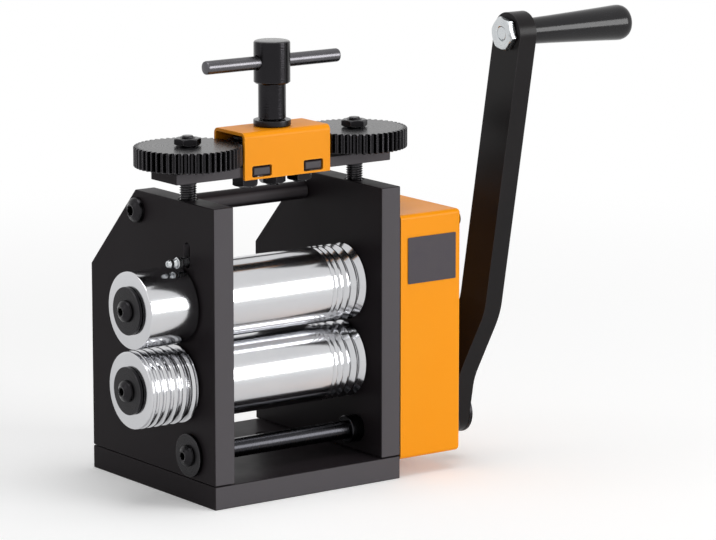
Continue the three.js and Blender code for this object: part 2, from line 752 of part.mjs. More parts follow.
/** Gear of the adjusting train with the boss that it turns on; its teeth start at the phase angle. */
function fineGear(teeth, phase = 0) {
  const toothed = spurGear({
    teeth, module: fineModule, width: fineGearWidth, backlash: fineBacklash, phase,
  });
  const boss = bar(gearBossDiameter / 2, -gearBossHeight, 1, turnedAlongZ, smallFacets);
  const bore = bar(spindleBore, -gearBossHeight - 1, fineGearWidth + 1, turnedAlongZ, screwFacets);
  return cut(join(toothed, boss), bore);
}

/** Axle of an idler gear: headed pin through the bar, threaded for its nut. */
function idlerAxle() {
  const headBottom = fineGearTopZ + clearance;
  const headTop = headBottom + axleHeadHeight;
  return turned([
    [0, stubBottomZ], [spindleDiameter / 2, stubBottomZ], [spindleDiameter / 2, headBottom],
    [axleHeadDiameter / 2, headBottom], [axleHeadDiameter / 2, headTop], [0, headTop],
  ], turnedAlongZ, screwFacets);
}

function bridgeNut() {
  return hexNut(hexAcrossFlats, spindleBore, nutHeight)
    .translate(0, 0, bridgeBottomZ - clearance - nutHeight);
}

function thinNut() {
  return hexNut(hexAcrossFlats, spindleBore, thinNutHeight);
}

/** Adjusting screw: thread down to its bearing block, shoulder under the bar and thin neck in the gear. */
function adjustingScrew() {
  const tip = blockTopZ + clearance;
  const shoulder = bridgeBottomZ - clearance;
  const top = fineGearTopZ + clearance + thinNutHeight + stubLength;
  const radius = adjusterDiameter / 2;
  return turned([
    [0, tip], [radius - 1, tip], [radius, tip + 1], [radius, shoulder], [spindleDiameter / 2, shoulder],
    [spindleDiameter / 2, top - 0.5], [spindleDiameter / 2 - 0.5, top], [0, top],
  ], turnedAlongZ, smallFacets);
}

const pinionX = driveGearX - pinionOverhang;
const pinionWidth = driveGearWidth + 2 * pinionOverhang;
const shaftLeftX = -(outerX - clearance);
const shaftRightX = armInnerX + armThickness - clearance;

/** Crank shaft across the whole frame: thin bar, shoulder inside the right plate and keyed drive end. */
function crankShaft() {
  const step = innerX - clearance - shaftShoulderLength;
  const seat = shaftDriveDiameter / 2;
  const shoulder = shaftShoulderDiameter / 2;
  const blank = turned([
    [0, shaftLeftX], [shaftDiameter / 2, shaftLeftX], [shaftDiameter / 2, step], [shoulder, step],
    [shoulder, innerX - clearance], [seat, innerX - clearance], [seat, shaftRightX], [0, shaftRightX],
  ], turnedAlongX, smallFacets);
  const keys = [
    keyForm(pinionKeySize, seat, pinionX + 1, pinionX + pinionWidth - 1),
    keyForm(pinionKeySize, seat, armInnerX + 1, armInnerX + armThickness - 1),
  ];
  const drilled = cut(
    blank,
    bar(tapRadius, shaftLeftX - 1, shaftLeftX + screwHoleDepth, turnedAlongX, screwFacets),
    bar(tapRadius, shaftRightX - screwHoleDepth, shaftRightX + 1, turnedAlongX, screwFacets),
  );
  return join(drilled, ...keys);
}

function shaftScrew() {
  return endScrew(shaftWasherDiameter);
}

/** Crank pinion, whose long hub turns in the cover's hole and holds the arm clear of the cover. */
function crankPinion() {
  const toothed = spurGear({
    teeth: crankPinionTeeth, module: coarseModule, width: pinionWidth, backlash: coarseBacklash,
    phase: meshAngle + Math.PI + Math.PI / crankPinionTeeth, basis: alongX,
  }).translate(pinionX, 0, 0);
  const end = pinionX + pinionWidth;
  const hub = bar(pinionHubDiameter / 2, end - 1, armInnerX - clearance, turnedAlongX, smallFacets);
  const bore = bar(driveBore, pinionX - 1, armInnerX, turnedAlongX, smallFacets);
  const keyway = keyForm(pinionKeySize, shaftDriveDiameter / 2, pinionX - 1, end - 1, clearance);
  return cut(join(toothed, hub), bore, keyway);
}

const coverScrewPlaces = [frontY + coverScrewInset, frontY + coverDepth - coverScrewInset]
  .flatMap((y) => [coverScrewFoot, coverTopZ - coverScrewInset].map((z) => [y, z]));

function coverScrewHole([y, z]) {
  const start = outerX - coverScrewGrip - clearance;
  return bar(coverScrewBore, start, coverOuterX + 1, turnedAlongX, screwFacets).translate(0, y, z);
}

/** Rounded rectangle of the cover in Y and Z, inset by a wall. */
function coverShape(inset) {
  const [y0, y1] = [frontY + inset, frontY + coverDepth - inset];
  const [z0, z1] = [coverBottomZ + inset, coverTopZ - inset];
  const radius = coverCorner - inset;
  return new Shape()
    .moveTo(y0 + radius, z0).lineTo(y1 - radius, z0).absarc(y1 - radius, z0 + radius, radius, -Math.PI / 2, 0)
    .lineTo(y1, z1 - radius).absarc(y1 - radius, z1 - radius, radius, 0, Math.PI / 2)
    .lineTo(y0 + radius, z1).absarc(y0 + radius, z1 - radius, radius, Math.PI / 2, Math.PI)
    .lineTo(y0, z0 + radius).absarc(y0 + radius, z0 + radius, radius, Math.PI, 1.5 * Math.PI);
}

/** Sheet cover, open towards the side plate. */
function gearboxCover() {
  const outer = prism(coverShape(0), coverWidth, alongX, 3).translate(coverInnerX, 0, 0);
  const hollow = prism(coverShape(coverWall), coverWidth, alongX, 3).translate(coverInnerX - coverWall, 0, 0);
  const hubBore = pinionHubDiameter / 2 + clearance;
  const shaftHole = bar(hubBore, coverOuterX - 3, coverOuterX + 1, turnedAlongX, smallFacets)
    .translate(0, shaftY, shaftZ);
  return cut(outer, hollow, shaftHole, ...coverScrewPlaces.map(coverScrewHole));
}

function coverScrew() {
  return buttonScrew({
    length: coverWidth + 2 * clearance + coverScrewGrip, diameter: coverScrewDiameter,
    headDiameter: coverScrewHeadDiameter, headHeight: coverScrewHeadHeight,
  });
}

/** Edge of the joggled bar in X and Z, at a distance from its middle line, from the shaft's end upwards. */
function joggleEdge(distance) {
  const bend = Math.atan2(armOffset, joggleEnd - joggleStart);
  const setback = armBendRadius * Math.tan(bend / 2);
  const middle = armThickness / 2;
  const angles = [0, 1, 2, 3].map((step) => (bend * step) / 3);
  const lower = angles.map((angle) => [
    middle + armBendRadius - (armBendRadius - distance) * Math.cos(angle),
    joggleStart - setback + (armBendRadius - distance) * Math.sin(angle),
  ]);
  const upper = angles.map((angle) => [
    armOffset + middle - armBendRadius + (armBendRadius + distance) * Math.cos(angle),
    joggleEnd + setback - (armBendRadius + distance) * Math.sin(angle),
  ]).reverse();
  const reach = armWidth / 2 + 1;
  return [
    [middle + distance, -reach], ...lower, ...upper, [armOffset + middle + distance, armLength + reach],
  ];
}

/** Cranked flat bar: joggled side profile crossed with a round-ended outline, up along Z from the shaft. */
function crankArm() {
  const end = armWidth / 2;
  const profile = polygon([...joggleEdge(armThickness / 2), ...joggleEdge(-armThickness / 2).reverse()]);
  const sideways = new Matrix4().makeBasis(new Vector3(1, 0, 0), new Vector3(0, 0, 1), new Vector3(0, -1, 0));
  const bent = prism(profile, armWidth + 2, sideways).translate(0, armWidth / 2 + 1, 0);
  const outline = new Shape()
    .moveTo(end, 0).lineTo(end, armLength).absarc(0, armLength, end, 0, Math.PI)
    .lineTo(-end, 0).absarc(0, 0, end, Math.PI, 2 * Math.PI);
  const flat = prism(outline, armOffset + armThickness + 2, alongX, 10).translate(-1, 0, 0);
  const shaftHole = bar(driveBore, -1, armThickness + 1, turnedAlongX, smallFacets);
  const boltBore = gripBoltDiameter / 2 + boltClearance;
  const boltHole = bar(boltBore, armOffset - 1, armOffset + armThickness + 1, turnedAlongX, screwFacets)
    .translate(0, 0, armLength);
  const leanBack = new Matrix4().makeRotationX((-armLean * Math.PI) / 180);
  const keyway = keyForm(pinionKeySize, shaftDriveDiameter / 2, -2, armThickness + 2, clearance)
    .applyMatrix4(leanBack);
  return cut(common(bent, flat), shaftHole, boltHole, keyway);
}

const gripStartX = armOffset + armThickness + clearance;

/** Headed pin that the grip turns on, with its thin hexagon nut against the arm's inner face. */
function gripBolt() {
  const radius = gripBoltDiameter / 2;
  const headRadius = radius + gripBoltHeadRim;
  const startX = armOffset - thinNutHeight - clearance / 2;
  const headX = gripStartX + gripLength - gripBoltRecess;
  const endX = headX + gripBoltHeadHeight;
  return turned([
    [0, startX], [radius, startX], [radius, headX], [headRadius, headX], [headRadius, endX], [0, endX],
  ], turnedAlongX, screwFacets);
}

function gripNut() {
  return hexNut(gripNutAcrossFlats, gripBoltDiameter / 2 + clearance, thinNutHeight, alongX)
    .translate(armOffset - clearance - thinNutHeight, 0, 0);
}

/** Tapered grip with its rounded outer end, hollow for the pin. */
function crankGrip() {
  const [small, large] = [gripSmallDiameter / 2, gripLargeDiameter / 2];
  const end = gripStartX + gripLength;
  const bore = gripBoltDiameter / 2 + clearance;
  const headRoom = bore + gripBoltHeadRim;
  const headX = end - gripBoltRecess - clearance;
  return turned([
    [bore, gripStartX], [small - 0.8, gripStartX], [small, gripStartX + 0.8],
    [large - 0.3, end - gripTaperEnd], [large, end - gripTaperEnd / 2], [large - 0.8, end - 2.5],
    [large - 2.4, end],
    [headRoom, end], [headRoom, headX], [bore, headX], [bore, gripStartX],
  ], turnedAlongX, roundFacets - 4);
}

function frameGroup() {
  return groupAt(
    [0, 0, 0],
    piece("base_plate", basePlate(), "blackPaint"),
    piece("side_plate_left", sidePlate(-1), "blackPaint"),
    piece("side_plate_right", sidePlate(1), "blackPaint"),
    ...baseScrewPlaces.map(([x, y], i) => piece(`base_screw_${i + 1}`, baseScrew(x, y), "blackOxide")),
    piece("upper_tie_rod", tieRod(), "blackPaint", [0, tieRodY, tieRodZ]),
    piece("tie_rod_screw_left", facingLeft(tieScrew()), "blackOxide", [-outerX - clearance, tieRodY, tieRodZ]),
    piece("tie_rod_screw_right", tieScrew(), "blackOxide", [outerX + clearance, tieRodY, tieRodZ]),
    piece("lower_roll_bush_left", rollBush(), "bronze", [-outerX, rollY, lowerRollZ]),
    piece("lower_roll_bush_right", rollBush(), "bronze", [innerX, rollY, lowerRollZ]),
    piece("gearbox_cover", gearboxCover(), "orangePaint"),
    ...coverScrewPlaces.map(([y, z], i) => piece(`gearbox_cover_screw_${i + 1}`, coverScrew(), "blackOxide",
      [coverOuterX + clearance, y, z])),
  );
}

const ringScrewX = -(ringOuterX + clearance);
const gearScrewX = journalEndX + clearance;
const blockFaceX = innerX + blockThickness;

function lowerRollGroup() {
  return groupAt(
    [0, rollY, lowerRollZ],
    piece("lower_roll", roll(lowerKeySpan), "polishedSteel"),
    piece("lower_grooved_ring", sideRing(ringGrooveWidths), "polishedSteel"),
    piece("lower_drive_gear", driveGear(), "machinedSteel"),
    piece("lower_roll_gear", lowerRollGear(), "machinedSteel"),
    piece("lower_ring_screw", facingLeft(endScrew(ringWasherDiameter)), "blackOxide", [ringScrewX, 0, 0]),
    piece("lower_gear_screw", endScrew(ringWasherDiameter), "blackOxide", [gearScrewX, 0, 0]),
  );
}

function upperRollGroup() {
  return groupAt(
    [0, rollY, upperRollZ],
    piece("upper_roll", roll(upperKeySpan), "polishedSteel"),
    piece("upper_plain_ring", sideRing([]), "polishedSteel"),
    piece("upper_roll_gear", upperRollGear(), "machinedSteel"),
    piece("upper_ring_screw", facingLeft(endScrew(ringWasherDiameter)), "blackOxide", [ringScrewX, 0, 0]),
    piece("upper_gear_screw", endScrew(ringWasherDiameter), "blackOxide", [gearScrewX, 0, 0]),
    piece("bearing_block_left", bearingBlockLeft(), "blackOxide", [-blockFaceX, 0, 0]),
    piece("bearing_block_right", bearingBlock(), "blackOxide", [outerX - blockThickness, 0, 0]),
    piece("oil_nipple", oilNipple(), "zinc", [-blockFaceX, nippleY - rollY, nippleZ - upperRollZ]),
  );
}

function springGroup() {
  return groupAt(
    [0, rollY, windowBottomZ + clearance + springWire / 2],
    piece("lift_spring_left", liftSpring(), "machinedSteel", [-innerX - windowDepth / 2, 0, 0]),
    piece("lift_spring_right", liftSpring(), "machinedSteel", [outerX - windowDepth / 2, 0, 0]),
  );
}

function headGroup() {
  return groupAt(
    [0, rollY, 0],
    piece("bridge_bar", bridgeBar(), "blackPaint", [0, 0, bridgeBottomZ]),
    piece("gear_bracket", gearBracket(), "orangePaint", [-bracketLength / 2, 0, bracketBottomZ]),
    piece("handle_bush", handleBush(), "blackOxide"),
    piece("idler_axle_left", idlerAxle(), "blackOxide", [-idlerX, 0, 0]),
    piece("idler_axle_right", idlerAxle(), "blackOxide", [idlerX, 0, 0]),
    piece("idler_nut_left", bridgeNut(), "blackOxide", [-idlerX, 0, 0]),
    piece("idler_nut_right", bridgeNut(), "blackOxide", [idlerX, 0, 0]),
  );
}

function adjusterGroup(name, side) {
  return groupAt(
    [side * adjusterX, rollY, 0],
    piece(`adjusting_screw_${name}`, adjustingScrew(), "blackOxide"),
    piece(`adjusting_gear_${name}`, fineGear(sideGearTeeth), "blackOxide", [0, 0, fineGearZ]),
    piece(`adjusting_nut_${name}`, thinNut(), "blackOxide", [0, 0, fineGearTopZ + clearance]),
  );
}

function handleGroup() {
  return groupAt(
    [0, rollY, 0],
    piece("t_handle_spindle", handleSpindle(), "blackOxide"),
    piece("t_handle_cross_bar", crossBar(), "blackOxide", [0, 0, hubBottomZ + hubHeight / 2]),
    piece("t_handle_pinion", fineGear(pinionTeeth), "blackOxide", [0, 0, fineGearZ]),
    piece("t_handle_nut", bridgeNut(), "blackOxide"),
  );
}

function idlerGroup() {
  const halfTooth = Math.PI / idlerTeeth;
  return groupAt(
    [0, rollY, fineGearZ],
    piece("idler_gear_left", fineGear(idlerTeeth, halfTooth), "blackOxide", [-idlerX, 0, 0]),
    piece("idler_gear_right", fineGear(idlerTeeth, halfTooth), "blackOxide", [idlerX, 0, 0]),
  );
}

function crankGroup() {
  const arm = new Group();
  arm.position.set(armInnerX, 0, 0);
  arm.rotation.x = (armLean * Math.PI) / 180;
  const top = [0, 0, armLength];
  arm.add(
    piece("crank_arm", crankArm(), "blackPaint"),
    piece("grip_bolt", gripBolt(), "zinc", top),
    piece("grip_nut", gripNut(), "zinc", top),
    piece("crank_grip", crankGrip(), "blackPlastic", top),
  );
  const plateScrewX = -(outerX + clearance);
  const armScrewX = armInnerX + armThickness + clearance;
  return groupAt(
    [0, shaftY, shaftZ],
    piece("crank_shaft", crankShaft(), "machinedSteel"),
    piece("crank_pinion", crankPinion(), "machinedSteel"),
    piece("crank_shaft_screw", facingLeft(shaftScrew()), "blackOxide", [plateScrewX, 0, 0]),
    piece("crank_arm_screw", shaftScrew(), "blackOxide", [armScrewX, 0, 0]),
    arm,
  );
}

const rollingMill = new Group();
rollingMill.add(
  frameGroup(),
  lowerRollGroup(),
  upperRollGroup(),
  springGroup(),
  headGroup(),
  adjusterGroup("left", -1),
  adjusterGroup("right", 1),
  handleGroup(),
  idlerGroup(),
  crankGroup(),
);

export default rollingMill;
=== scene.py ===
"""Finished look of a hand cranked jewellers rolling mill, laid over its CAD frame.

Sizes are in millimetres in the CAD's frame and become metres when a piece is finished.
Each sub-assembly is a class that shapes its pieces, dresses them and sets them on their bodies.
"""

import logging
import math
from collections.abc import Callable, Sequence
from dataclasses import dataclass, field
from enum import Enum

import bmesh
import bpy
from mathutils import Matrix, Vector


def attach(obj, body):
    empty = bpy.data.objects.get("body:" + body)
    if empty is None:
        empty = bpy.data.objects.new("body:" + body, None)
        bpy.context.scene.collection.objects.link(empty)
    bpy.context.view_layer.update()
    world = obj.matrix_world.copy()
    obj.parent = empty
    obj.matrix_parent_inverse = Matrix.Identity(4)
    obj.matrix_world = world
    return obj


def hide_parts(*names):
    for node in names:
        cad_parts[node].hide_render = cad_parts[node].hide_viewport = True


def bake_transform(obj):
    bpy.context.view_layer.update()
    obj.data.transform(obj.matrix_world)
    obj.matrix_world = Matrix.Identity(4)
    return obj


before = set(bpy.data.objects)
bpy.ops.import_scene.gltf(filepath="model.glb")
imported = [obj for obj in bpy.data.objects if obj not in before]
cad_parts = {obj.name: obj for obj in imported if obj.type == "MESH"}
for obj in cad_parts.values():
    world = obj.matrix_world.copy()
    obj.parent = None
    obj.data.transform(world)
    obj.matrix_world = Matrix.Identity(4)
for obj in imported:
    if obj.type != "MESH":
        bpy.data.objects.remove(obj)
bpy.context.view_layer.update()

log = logging.getLogger("rolling_mill")

MM = 0.001
PHOTO_WIDTH = 716
Profile = Sequence[tuple[float, float]]
Place = tuple[float, float, float]

# Places that several sub-assemblies share, in mm
SIDES = ((-1, "left"), (1, "right"))
PLATE_OUTER, PLATE_INNER = 48.0, 38.0        # faces of the side plates, from the middle
PLATE_THICK = PLATE_OUTER - PLATE_INNER
ROLL_Y = -21.0               # plane of the rolls, the adjusting screws and the gear train
LOWER_Z, UPPER_Z = 50.0, 84.0
SCREW_X = 42.875             # adjusting screws, from the middle
CRANK_Y, CRANK_Z = -29.5, 20.578
NIPPLE_Y, NIPPLE_Z = -27.5, 103.0
COVER_SCREWS: Profile = ((-42.5, 19.0), (-42.5, 110.0), (0.5, 19.0), (0.5, 110.0))


class Axis(Enum):
    """Direction that a turned or extruded form runs along."""

    X = (1.0, 0.0, 0.0)
    Z = (0.0, 0.0, 1.0)

    def point(self, across: float, along: float) -> Vector:
        """Place of a profile point that lies across from the axis and along it."""
        return Vector((along, 0.0, across)) if self is Axis.X else Vector((across, 0.0, along))

    def flat(self, first: float, second: float) -> Vector:
        """Place of an outline point in the plane square to the axis."""
        return Vector((0.0, first, second)) if self is Axis.X else Vector((first, second, 0.0))


class Lay(Enum):
    """Direction of the fine marks that machining leaves in a surface."""

    NONE = "none"
    TURNED = "turned"
    GROUND = "ground"


# Materials

def linear(hex_colour: str) -> tuple[float, float, float, float]:
    """Turns an sRGB hex colour into the linear values that Blender's sockets take.

    Args:
        hex_colour: Six hex digits, with or without a leading #.

    Returns:
        Red, green, blue and an alpha of 1.
    """
    digits = hex_colour.lstrip("#")
    values = [int(digits[i:i + 2], 16) / 255 for i in (0, 2, 4)]
    channels = [v / 12.92 if v <= 0.04045 else ((v + 0.055) / 1.055) ** 2.4 for v in values]
    return (*channels, 1.0)


def add(tree: bpy.types.NodeTree, kind: str, settings: dict | None = None,
        links: dict | None = None) -> bpy.types.Node:
    """Adds one node, with its properties, socket values and incoming links.

    Args:
        tree: Node tree that gets the node.
        kind: Blender's type name without the ShaderNode prefix.
        settings: Values by property or input socket name.
        links: Output sockets by input socket name or index.

    Returns:
        The new node.
    """
    node = tree.nodes.new(f"ShaderNode{kind}")
    for name, value in (settings or {}).items():
        if isinstance(name, int) or name in node.inputs:
            node.inputs[name].default_value = value
        else:
            setattr(node, name, value)
    for name, socket in (links or {}).items():
        tree.links.new(socket, node.inputs[name])
    return node


@dataclass(frozen=True)
class Finish:
    """A surface finish, from which each axis of turning gets its own material."""

    name: str
    colour: str
    shade: str                   # second colour that patches drift towards
    metallic: float
    roughness: float
    spread: float                # how far patches move the roughness
    patch: float                 # mm across a patch
    grain: float                 # mm across the finest bumps
    relief: float                # mm height of the finest bumps
    slot: str
    lay: Lay = Lay.NONE
    lay_pitch: float = 0.5       # mm between machining marks
    lay_relief: float = 0.0      # mm depth of machining marks
    edge: str = ""               # colour that worn edges show
    edge_width: float = 0.0      # mm of wear beside an edge
    milled: str = ""             # painted sheen: lighter paint colour on faces square to Y, standing in for a lamp's sheen
    specular: float = 0.5

    def material(self, axis: Axis = Axis.Z, centre: Place = (0.0, 0.0, 0.0)) -> bpy.types.Material:
        """Builds the finish, or gives it again if this axis has it already.

        Args:
            axis: Direction that the piece was turned about.
            centre: A point on that axis, in mm.

        Returns:
            The material.
        """
        turned = self.lay is not Lay.NONE
        name = self.name
        if turned:
            name += f" about {axis.name} {centre[1]:.0f} {centre[2]:.0f} {centre[0]:.0f}"
        if name in bpy.data.materials:
            return bpy.data.materials[name]
        made = bpy.data.materials.new(name)
        made.use_nodes = True
        tree = made.node_tree
        tree.nodes.clear()
        place = add(tree, "TexCoord").outputs["Object"]
        patches = add(tree, "TexNoise", {
            "Scale": 1 / (self.patch * MM), "Detail": 3.0, "Roughness": 0.55,
        }, {"Vector": place}).outputs["Fac"]
        grain = add(tree, "TexNoise", {
            "Scale": 1 / (self.grain * MM), "Detail": 2.0, "Roughness": 0.5,
        }, {"Vector": place}).outputs["Fac"]
        tint = add(tree, "Mix", {"data_type": "RGBA"}, {0: patches})
        tint.inputs[6].default_value = linear(self.colour)
        tint.inputs[7].default_value = linear(self.shade)
        colour = tint.outputs[2]
        # Painted sheen: faces square to Y get a lighter colour
        if self.milled:
            colour = self._milled(tree, colour)
        bump = add(tree, "Bump", {"Strength": 1.0, "Distance": self.relief * MM},
                   {"Height": grain}).outputs[0]
        marks = self._marks(tree, place, axis, centre) if turned else patches
        if turned:
            bump = add(tree, "Bump", {"Strength": 1.0, "Distance": self.lay_relief * MM},
                       {"Height": marks, "Normal": bump}).outputs[0]
        if self.edge:
            colour = self._worn(tree, colour, patches)
        rough = add(tree, "MapRange", {
            "From Min": 0.3, "To Min": max(0.02, self.roughness - self.spread),
            "From Max": 0.7, "To Max": self.roughness + self.spread,
        }, {"Value": marks}).outputs[0]
        shader = add(tree, "BsdfPrincipled", {
            "Metallic": self.metallic, "Specular IOR Level": self.specular,
        }, {"Base Color": colour, "Roughness": rough, "Normal": bump})
        add(tree, "OutputMaterial", None, {"Surface": shader.outputs[0]})
        return made

    def _marks(self, tree: bpy.types.NodeTree, place: bpy.types.NodeSocket, axis: Axis,
               centre: Place) -> bpy.types.NodeSocket:
        """Rings left by a tool or a grinding wheel, along a turned side and across its ends."""
        moved = add(tree, "Mapping", {"Location": tuple(-c * MM for c in centre)},
                    {"Vector": place}).outputs[0]
        split = add(tree, "SeparateXYZ", None, {0: moved}).outputs
        order = (0, 1, 2) if axis is Axis.X else (2, 0, 1)
        along, first, second = (split[number] for number in order)
        flat = add(tree, "CombineXYZ", None, {0: first, 1: second}).outputs[0]
        radius = add(tree, "VectorMath", {"operation": "LENGTH"}, {0: flat}).outputs["Value"]
        reach = add(tree, "Math", {"operation": "ADD"}, {0: along, 1: radius}).outputs[0]
        if self.lay is Lay.GROUND:
            drift = add(tree, "TexNoise", {"Scale": 1 / (4 * self.patch * MM)},
                        {"Vector": place}).outputs["Fac"]
            sway = add(tree, "Math", {"operation": "MULTIPLY", 1: 0.3 * MM}, {0: drift}).outputs[0]
            reach = add(tree, "Math", {"operation": "ADD"}, {0: reach, 1: sway}).outputs[0]
        return add(tree, "TexNoise", {
            "noise_dimensions": "1D", "Scale": 1 / (self.lay_pitch * MM), "Detail": 2.0,
        }, {"W": reach}).outputs["Fac"]

    def _milled(self, tree: bpy.types.NodeTree,
                colour: bpy.types.NodeSocket) -> bpy.types.NodeSocket:
        """Painted sheen: lighter grey paint on the front and back faces, square to Y, than on the
        sides.
        """
        normal = add(tree, "TexCoord").outputs["Normal"]
        along = add(tree, "SeparateXYZ", None, {0: normal}).outputs[1]
        size = add(tree, "Math", {"operation": "ABSOLUTE"}, {0: along}).outputs[0]
        share = add(tree, "MapRange", {"From Min": 0.8, "From Max": 0.98},
                    {"Value": size}).outputs[0]
        mix = add(tree, "Mix", {"data_type": "RGBA"}, {0: share, 6: colour})
        mix.inputs[7].default_value = linear(self.milled)
        return mix.outputs[2]

    def _worn(self, tree: bpy.types.NodeTree, colour: bpy.types.NodeSocket,
              patches: bpy.types.NodeSocket) -> bpy.types.NodeSocket:
        """Paint rubbed thin along edges, found where a rounded normal leaves the true one."""
        rounded = add(tree, "Bevel", {"samples": 4, "Radius": self.edge_width * MM}).outputs[0]
        true = add(tree, "NewGeometry").outputs["Normal"]
        match = add(tree, "VectorMath", {"operation": "DOT_PRODUCT"},
                    {0: rounded, 1: true}).outputs["Value"]
        rub = add(tree, "MapRange", {"From Min": 0.995, "From Max": 0.93},
                  {"Value": match}).outputs[0]
        broken = add(tree, "Math", {"operation": "MULTIPLY"}, {0: rub, 1: patches}).outputs[0]
        mix = add(tree, "Mix", {"data_type": "RGBA"}, {0: broken, 6: colour})
        mix.inputs[7].default_value = linear(self.edge)
        return mix.outputs[2]


# Each finish gives its name, colour, shade, metallic, roughness and spread, then the patch, grain
# and relief in mm and the slot, and then what its marks, edges and paint need.

# Satin stoved paint on steel: deep grey-black with a soft broad sheen and a faint orange peel, and
# a lighter painted sheen on the faces square to Y.
BLACK_PAINT = Finish(
    "satin black stoved paint", "#201c1f", "#252123", 0.0, 0.42, 0.05, 26.0, 1.1, 0.004,
    "black_paint", edge="#504d4f", edge_width=0.5, specular=0.05, milled="#565356")
# Glossier enamel of the crank arm: almost pure black, so the bar reads darker than the frame.
BLACK_ENAMEL = Finish(
    "black enamel", "#151314", "#1a1718", 0.0, 0.32, 0.04, 22.0, 1.0, 0.002,
    "black_paint", edge="#3e3b3d", edge_width=0.5, specular=0.14)
# Powder coat: warm orange, even, with a fine pebble that breaks highlights up.
ORANGE_POWDER = Finish(
    "orange powder coat", "#f99808", "#f79c12", 0.0, 0.38, 0.05, 30.0, 0.9, 0.006,
    "orange_paint", edge="#ffb44a", edge_width=0.6, specular=0.12)
# Ground and polished tool steel: mirror bright with hair-fine rings round the roll.
POLISHED_STEEL = Finish(
    "polished roll steel", "#cfcfd1", "#c6c7ca", 1.0, 0.15, 0.04, 14.0, 0.5, 0.0004,
    "polished_steel", Lay.GROUND, 0.35, 0.0006)
# Turned and milled steel, oiled: grey with visible tool rings.
MACHINED_STEEL = Finish(
    "machined steel", "#a9abae", "#96989c", 1.0, 0.34, 0.07, 9.0, 0.4, 0.001,
    "machined_steel", Lay.TURNED, 0.4, 0.003)
# Blued shaft steel: dark bar that shows one bright streak along its top.
BLUED_STEEL = Finish(
    "blued shaft steel", "#353538", "#2b2b2e", 1.0, 0.24, 0.05, 9.0, 0.4, 0.0008,
    "machined_steel", Lay.TURNED, 0.4, 0.0014)
# Hot blackened steel: charcoal metal that keeps its tool marks under a thin oiled oxide.
BLACK_OXIDE = Finish(
    "black oxide steel", "#2f2e30", "#252426", 1.0, 0.29, 0.06, 12.0, 0.5, 0.0012,
    "black_oxide", Lay.TURNED, 0.45, 0.003, edge="#6f6d70", edge_width=0.35)
# Blackened and buffed steel of the T-handle: smooth black with a soft sheen and fine tool rings.
BUFFED_BLACK = Finish(
    "buffed black steel", "#2d2c2e", "#252426", 1.0, 0.19, 0.03, 12.0, 0.5, 0.0006,
    "black_oxide", Lay.TURNED, 0.45, 0.03, edge="#5e5c5f", edge_width=0.35)
# Drawn bar of the T-handle: dark grey steel with a soft light band along it.
DRAWN_STEEL = Finish(
    "drawn dark steel", "#5f5e61", "#525154", 1.0, 0.28, 0.05, 9.0, 0.4, 0.0008,
    "black_oxide", Lay.TURNED, 0.4, 0.0014)
# Sintered bronze bearing metal: warm brown-gold and matt.
BRONZE = Finish(
    "sintered bronze", "#b08d57", "#9a7846", 1.0, 0.42, 0.06, 6.0, 0.35, 0.003,
    "bronze", Lay.TURNED, 0.5, 0.002)
# Bright zinc plate: pale blue-white, lightly frosted.
ZINC = Finish(
    "bright zinc plate", "#d2d5d6", "#bfc3c6", 1.0, 0.24, 0.08, 3.0, 0.35, 0.003,
    "zinc", Lay.TURNED, 0.6, 0.002)
# Injection moulded plastic: near black and glossy, with a very slight moulding swirl.
BLACK_PLASTIC = Finish(
    "moulded black plastic", "#171618", "#1c1b1d", 0.0, 0.15, 0.03, 20.0, 1.4, 0.002,
    "black_plastic", specular=0.26)
# Anodised aluminium sheet with no print: matt slate grey.
BLANK_LABEL = Finish(
    "anodised label blank", "#494447", "#413d44", 0.2, 0.4, 0.05, 5.0, 0.3, 0.001,
    "black_paint", specular=0.2)


# Forms

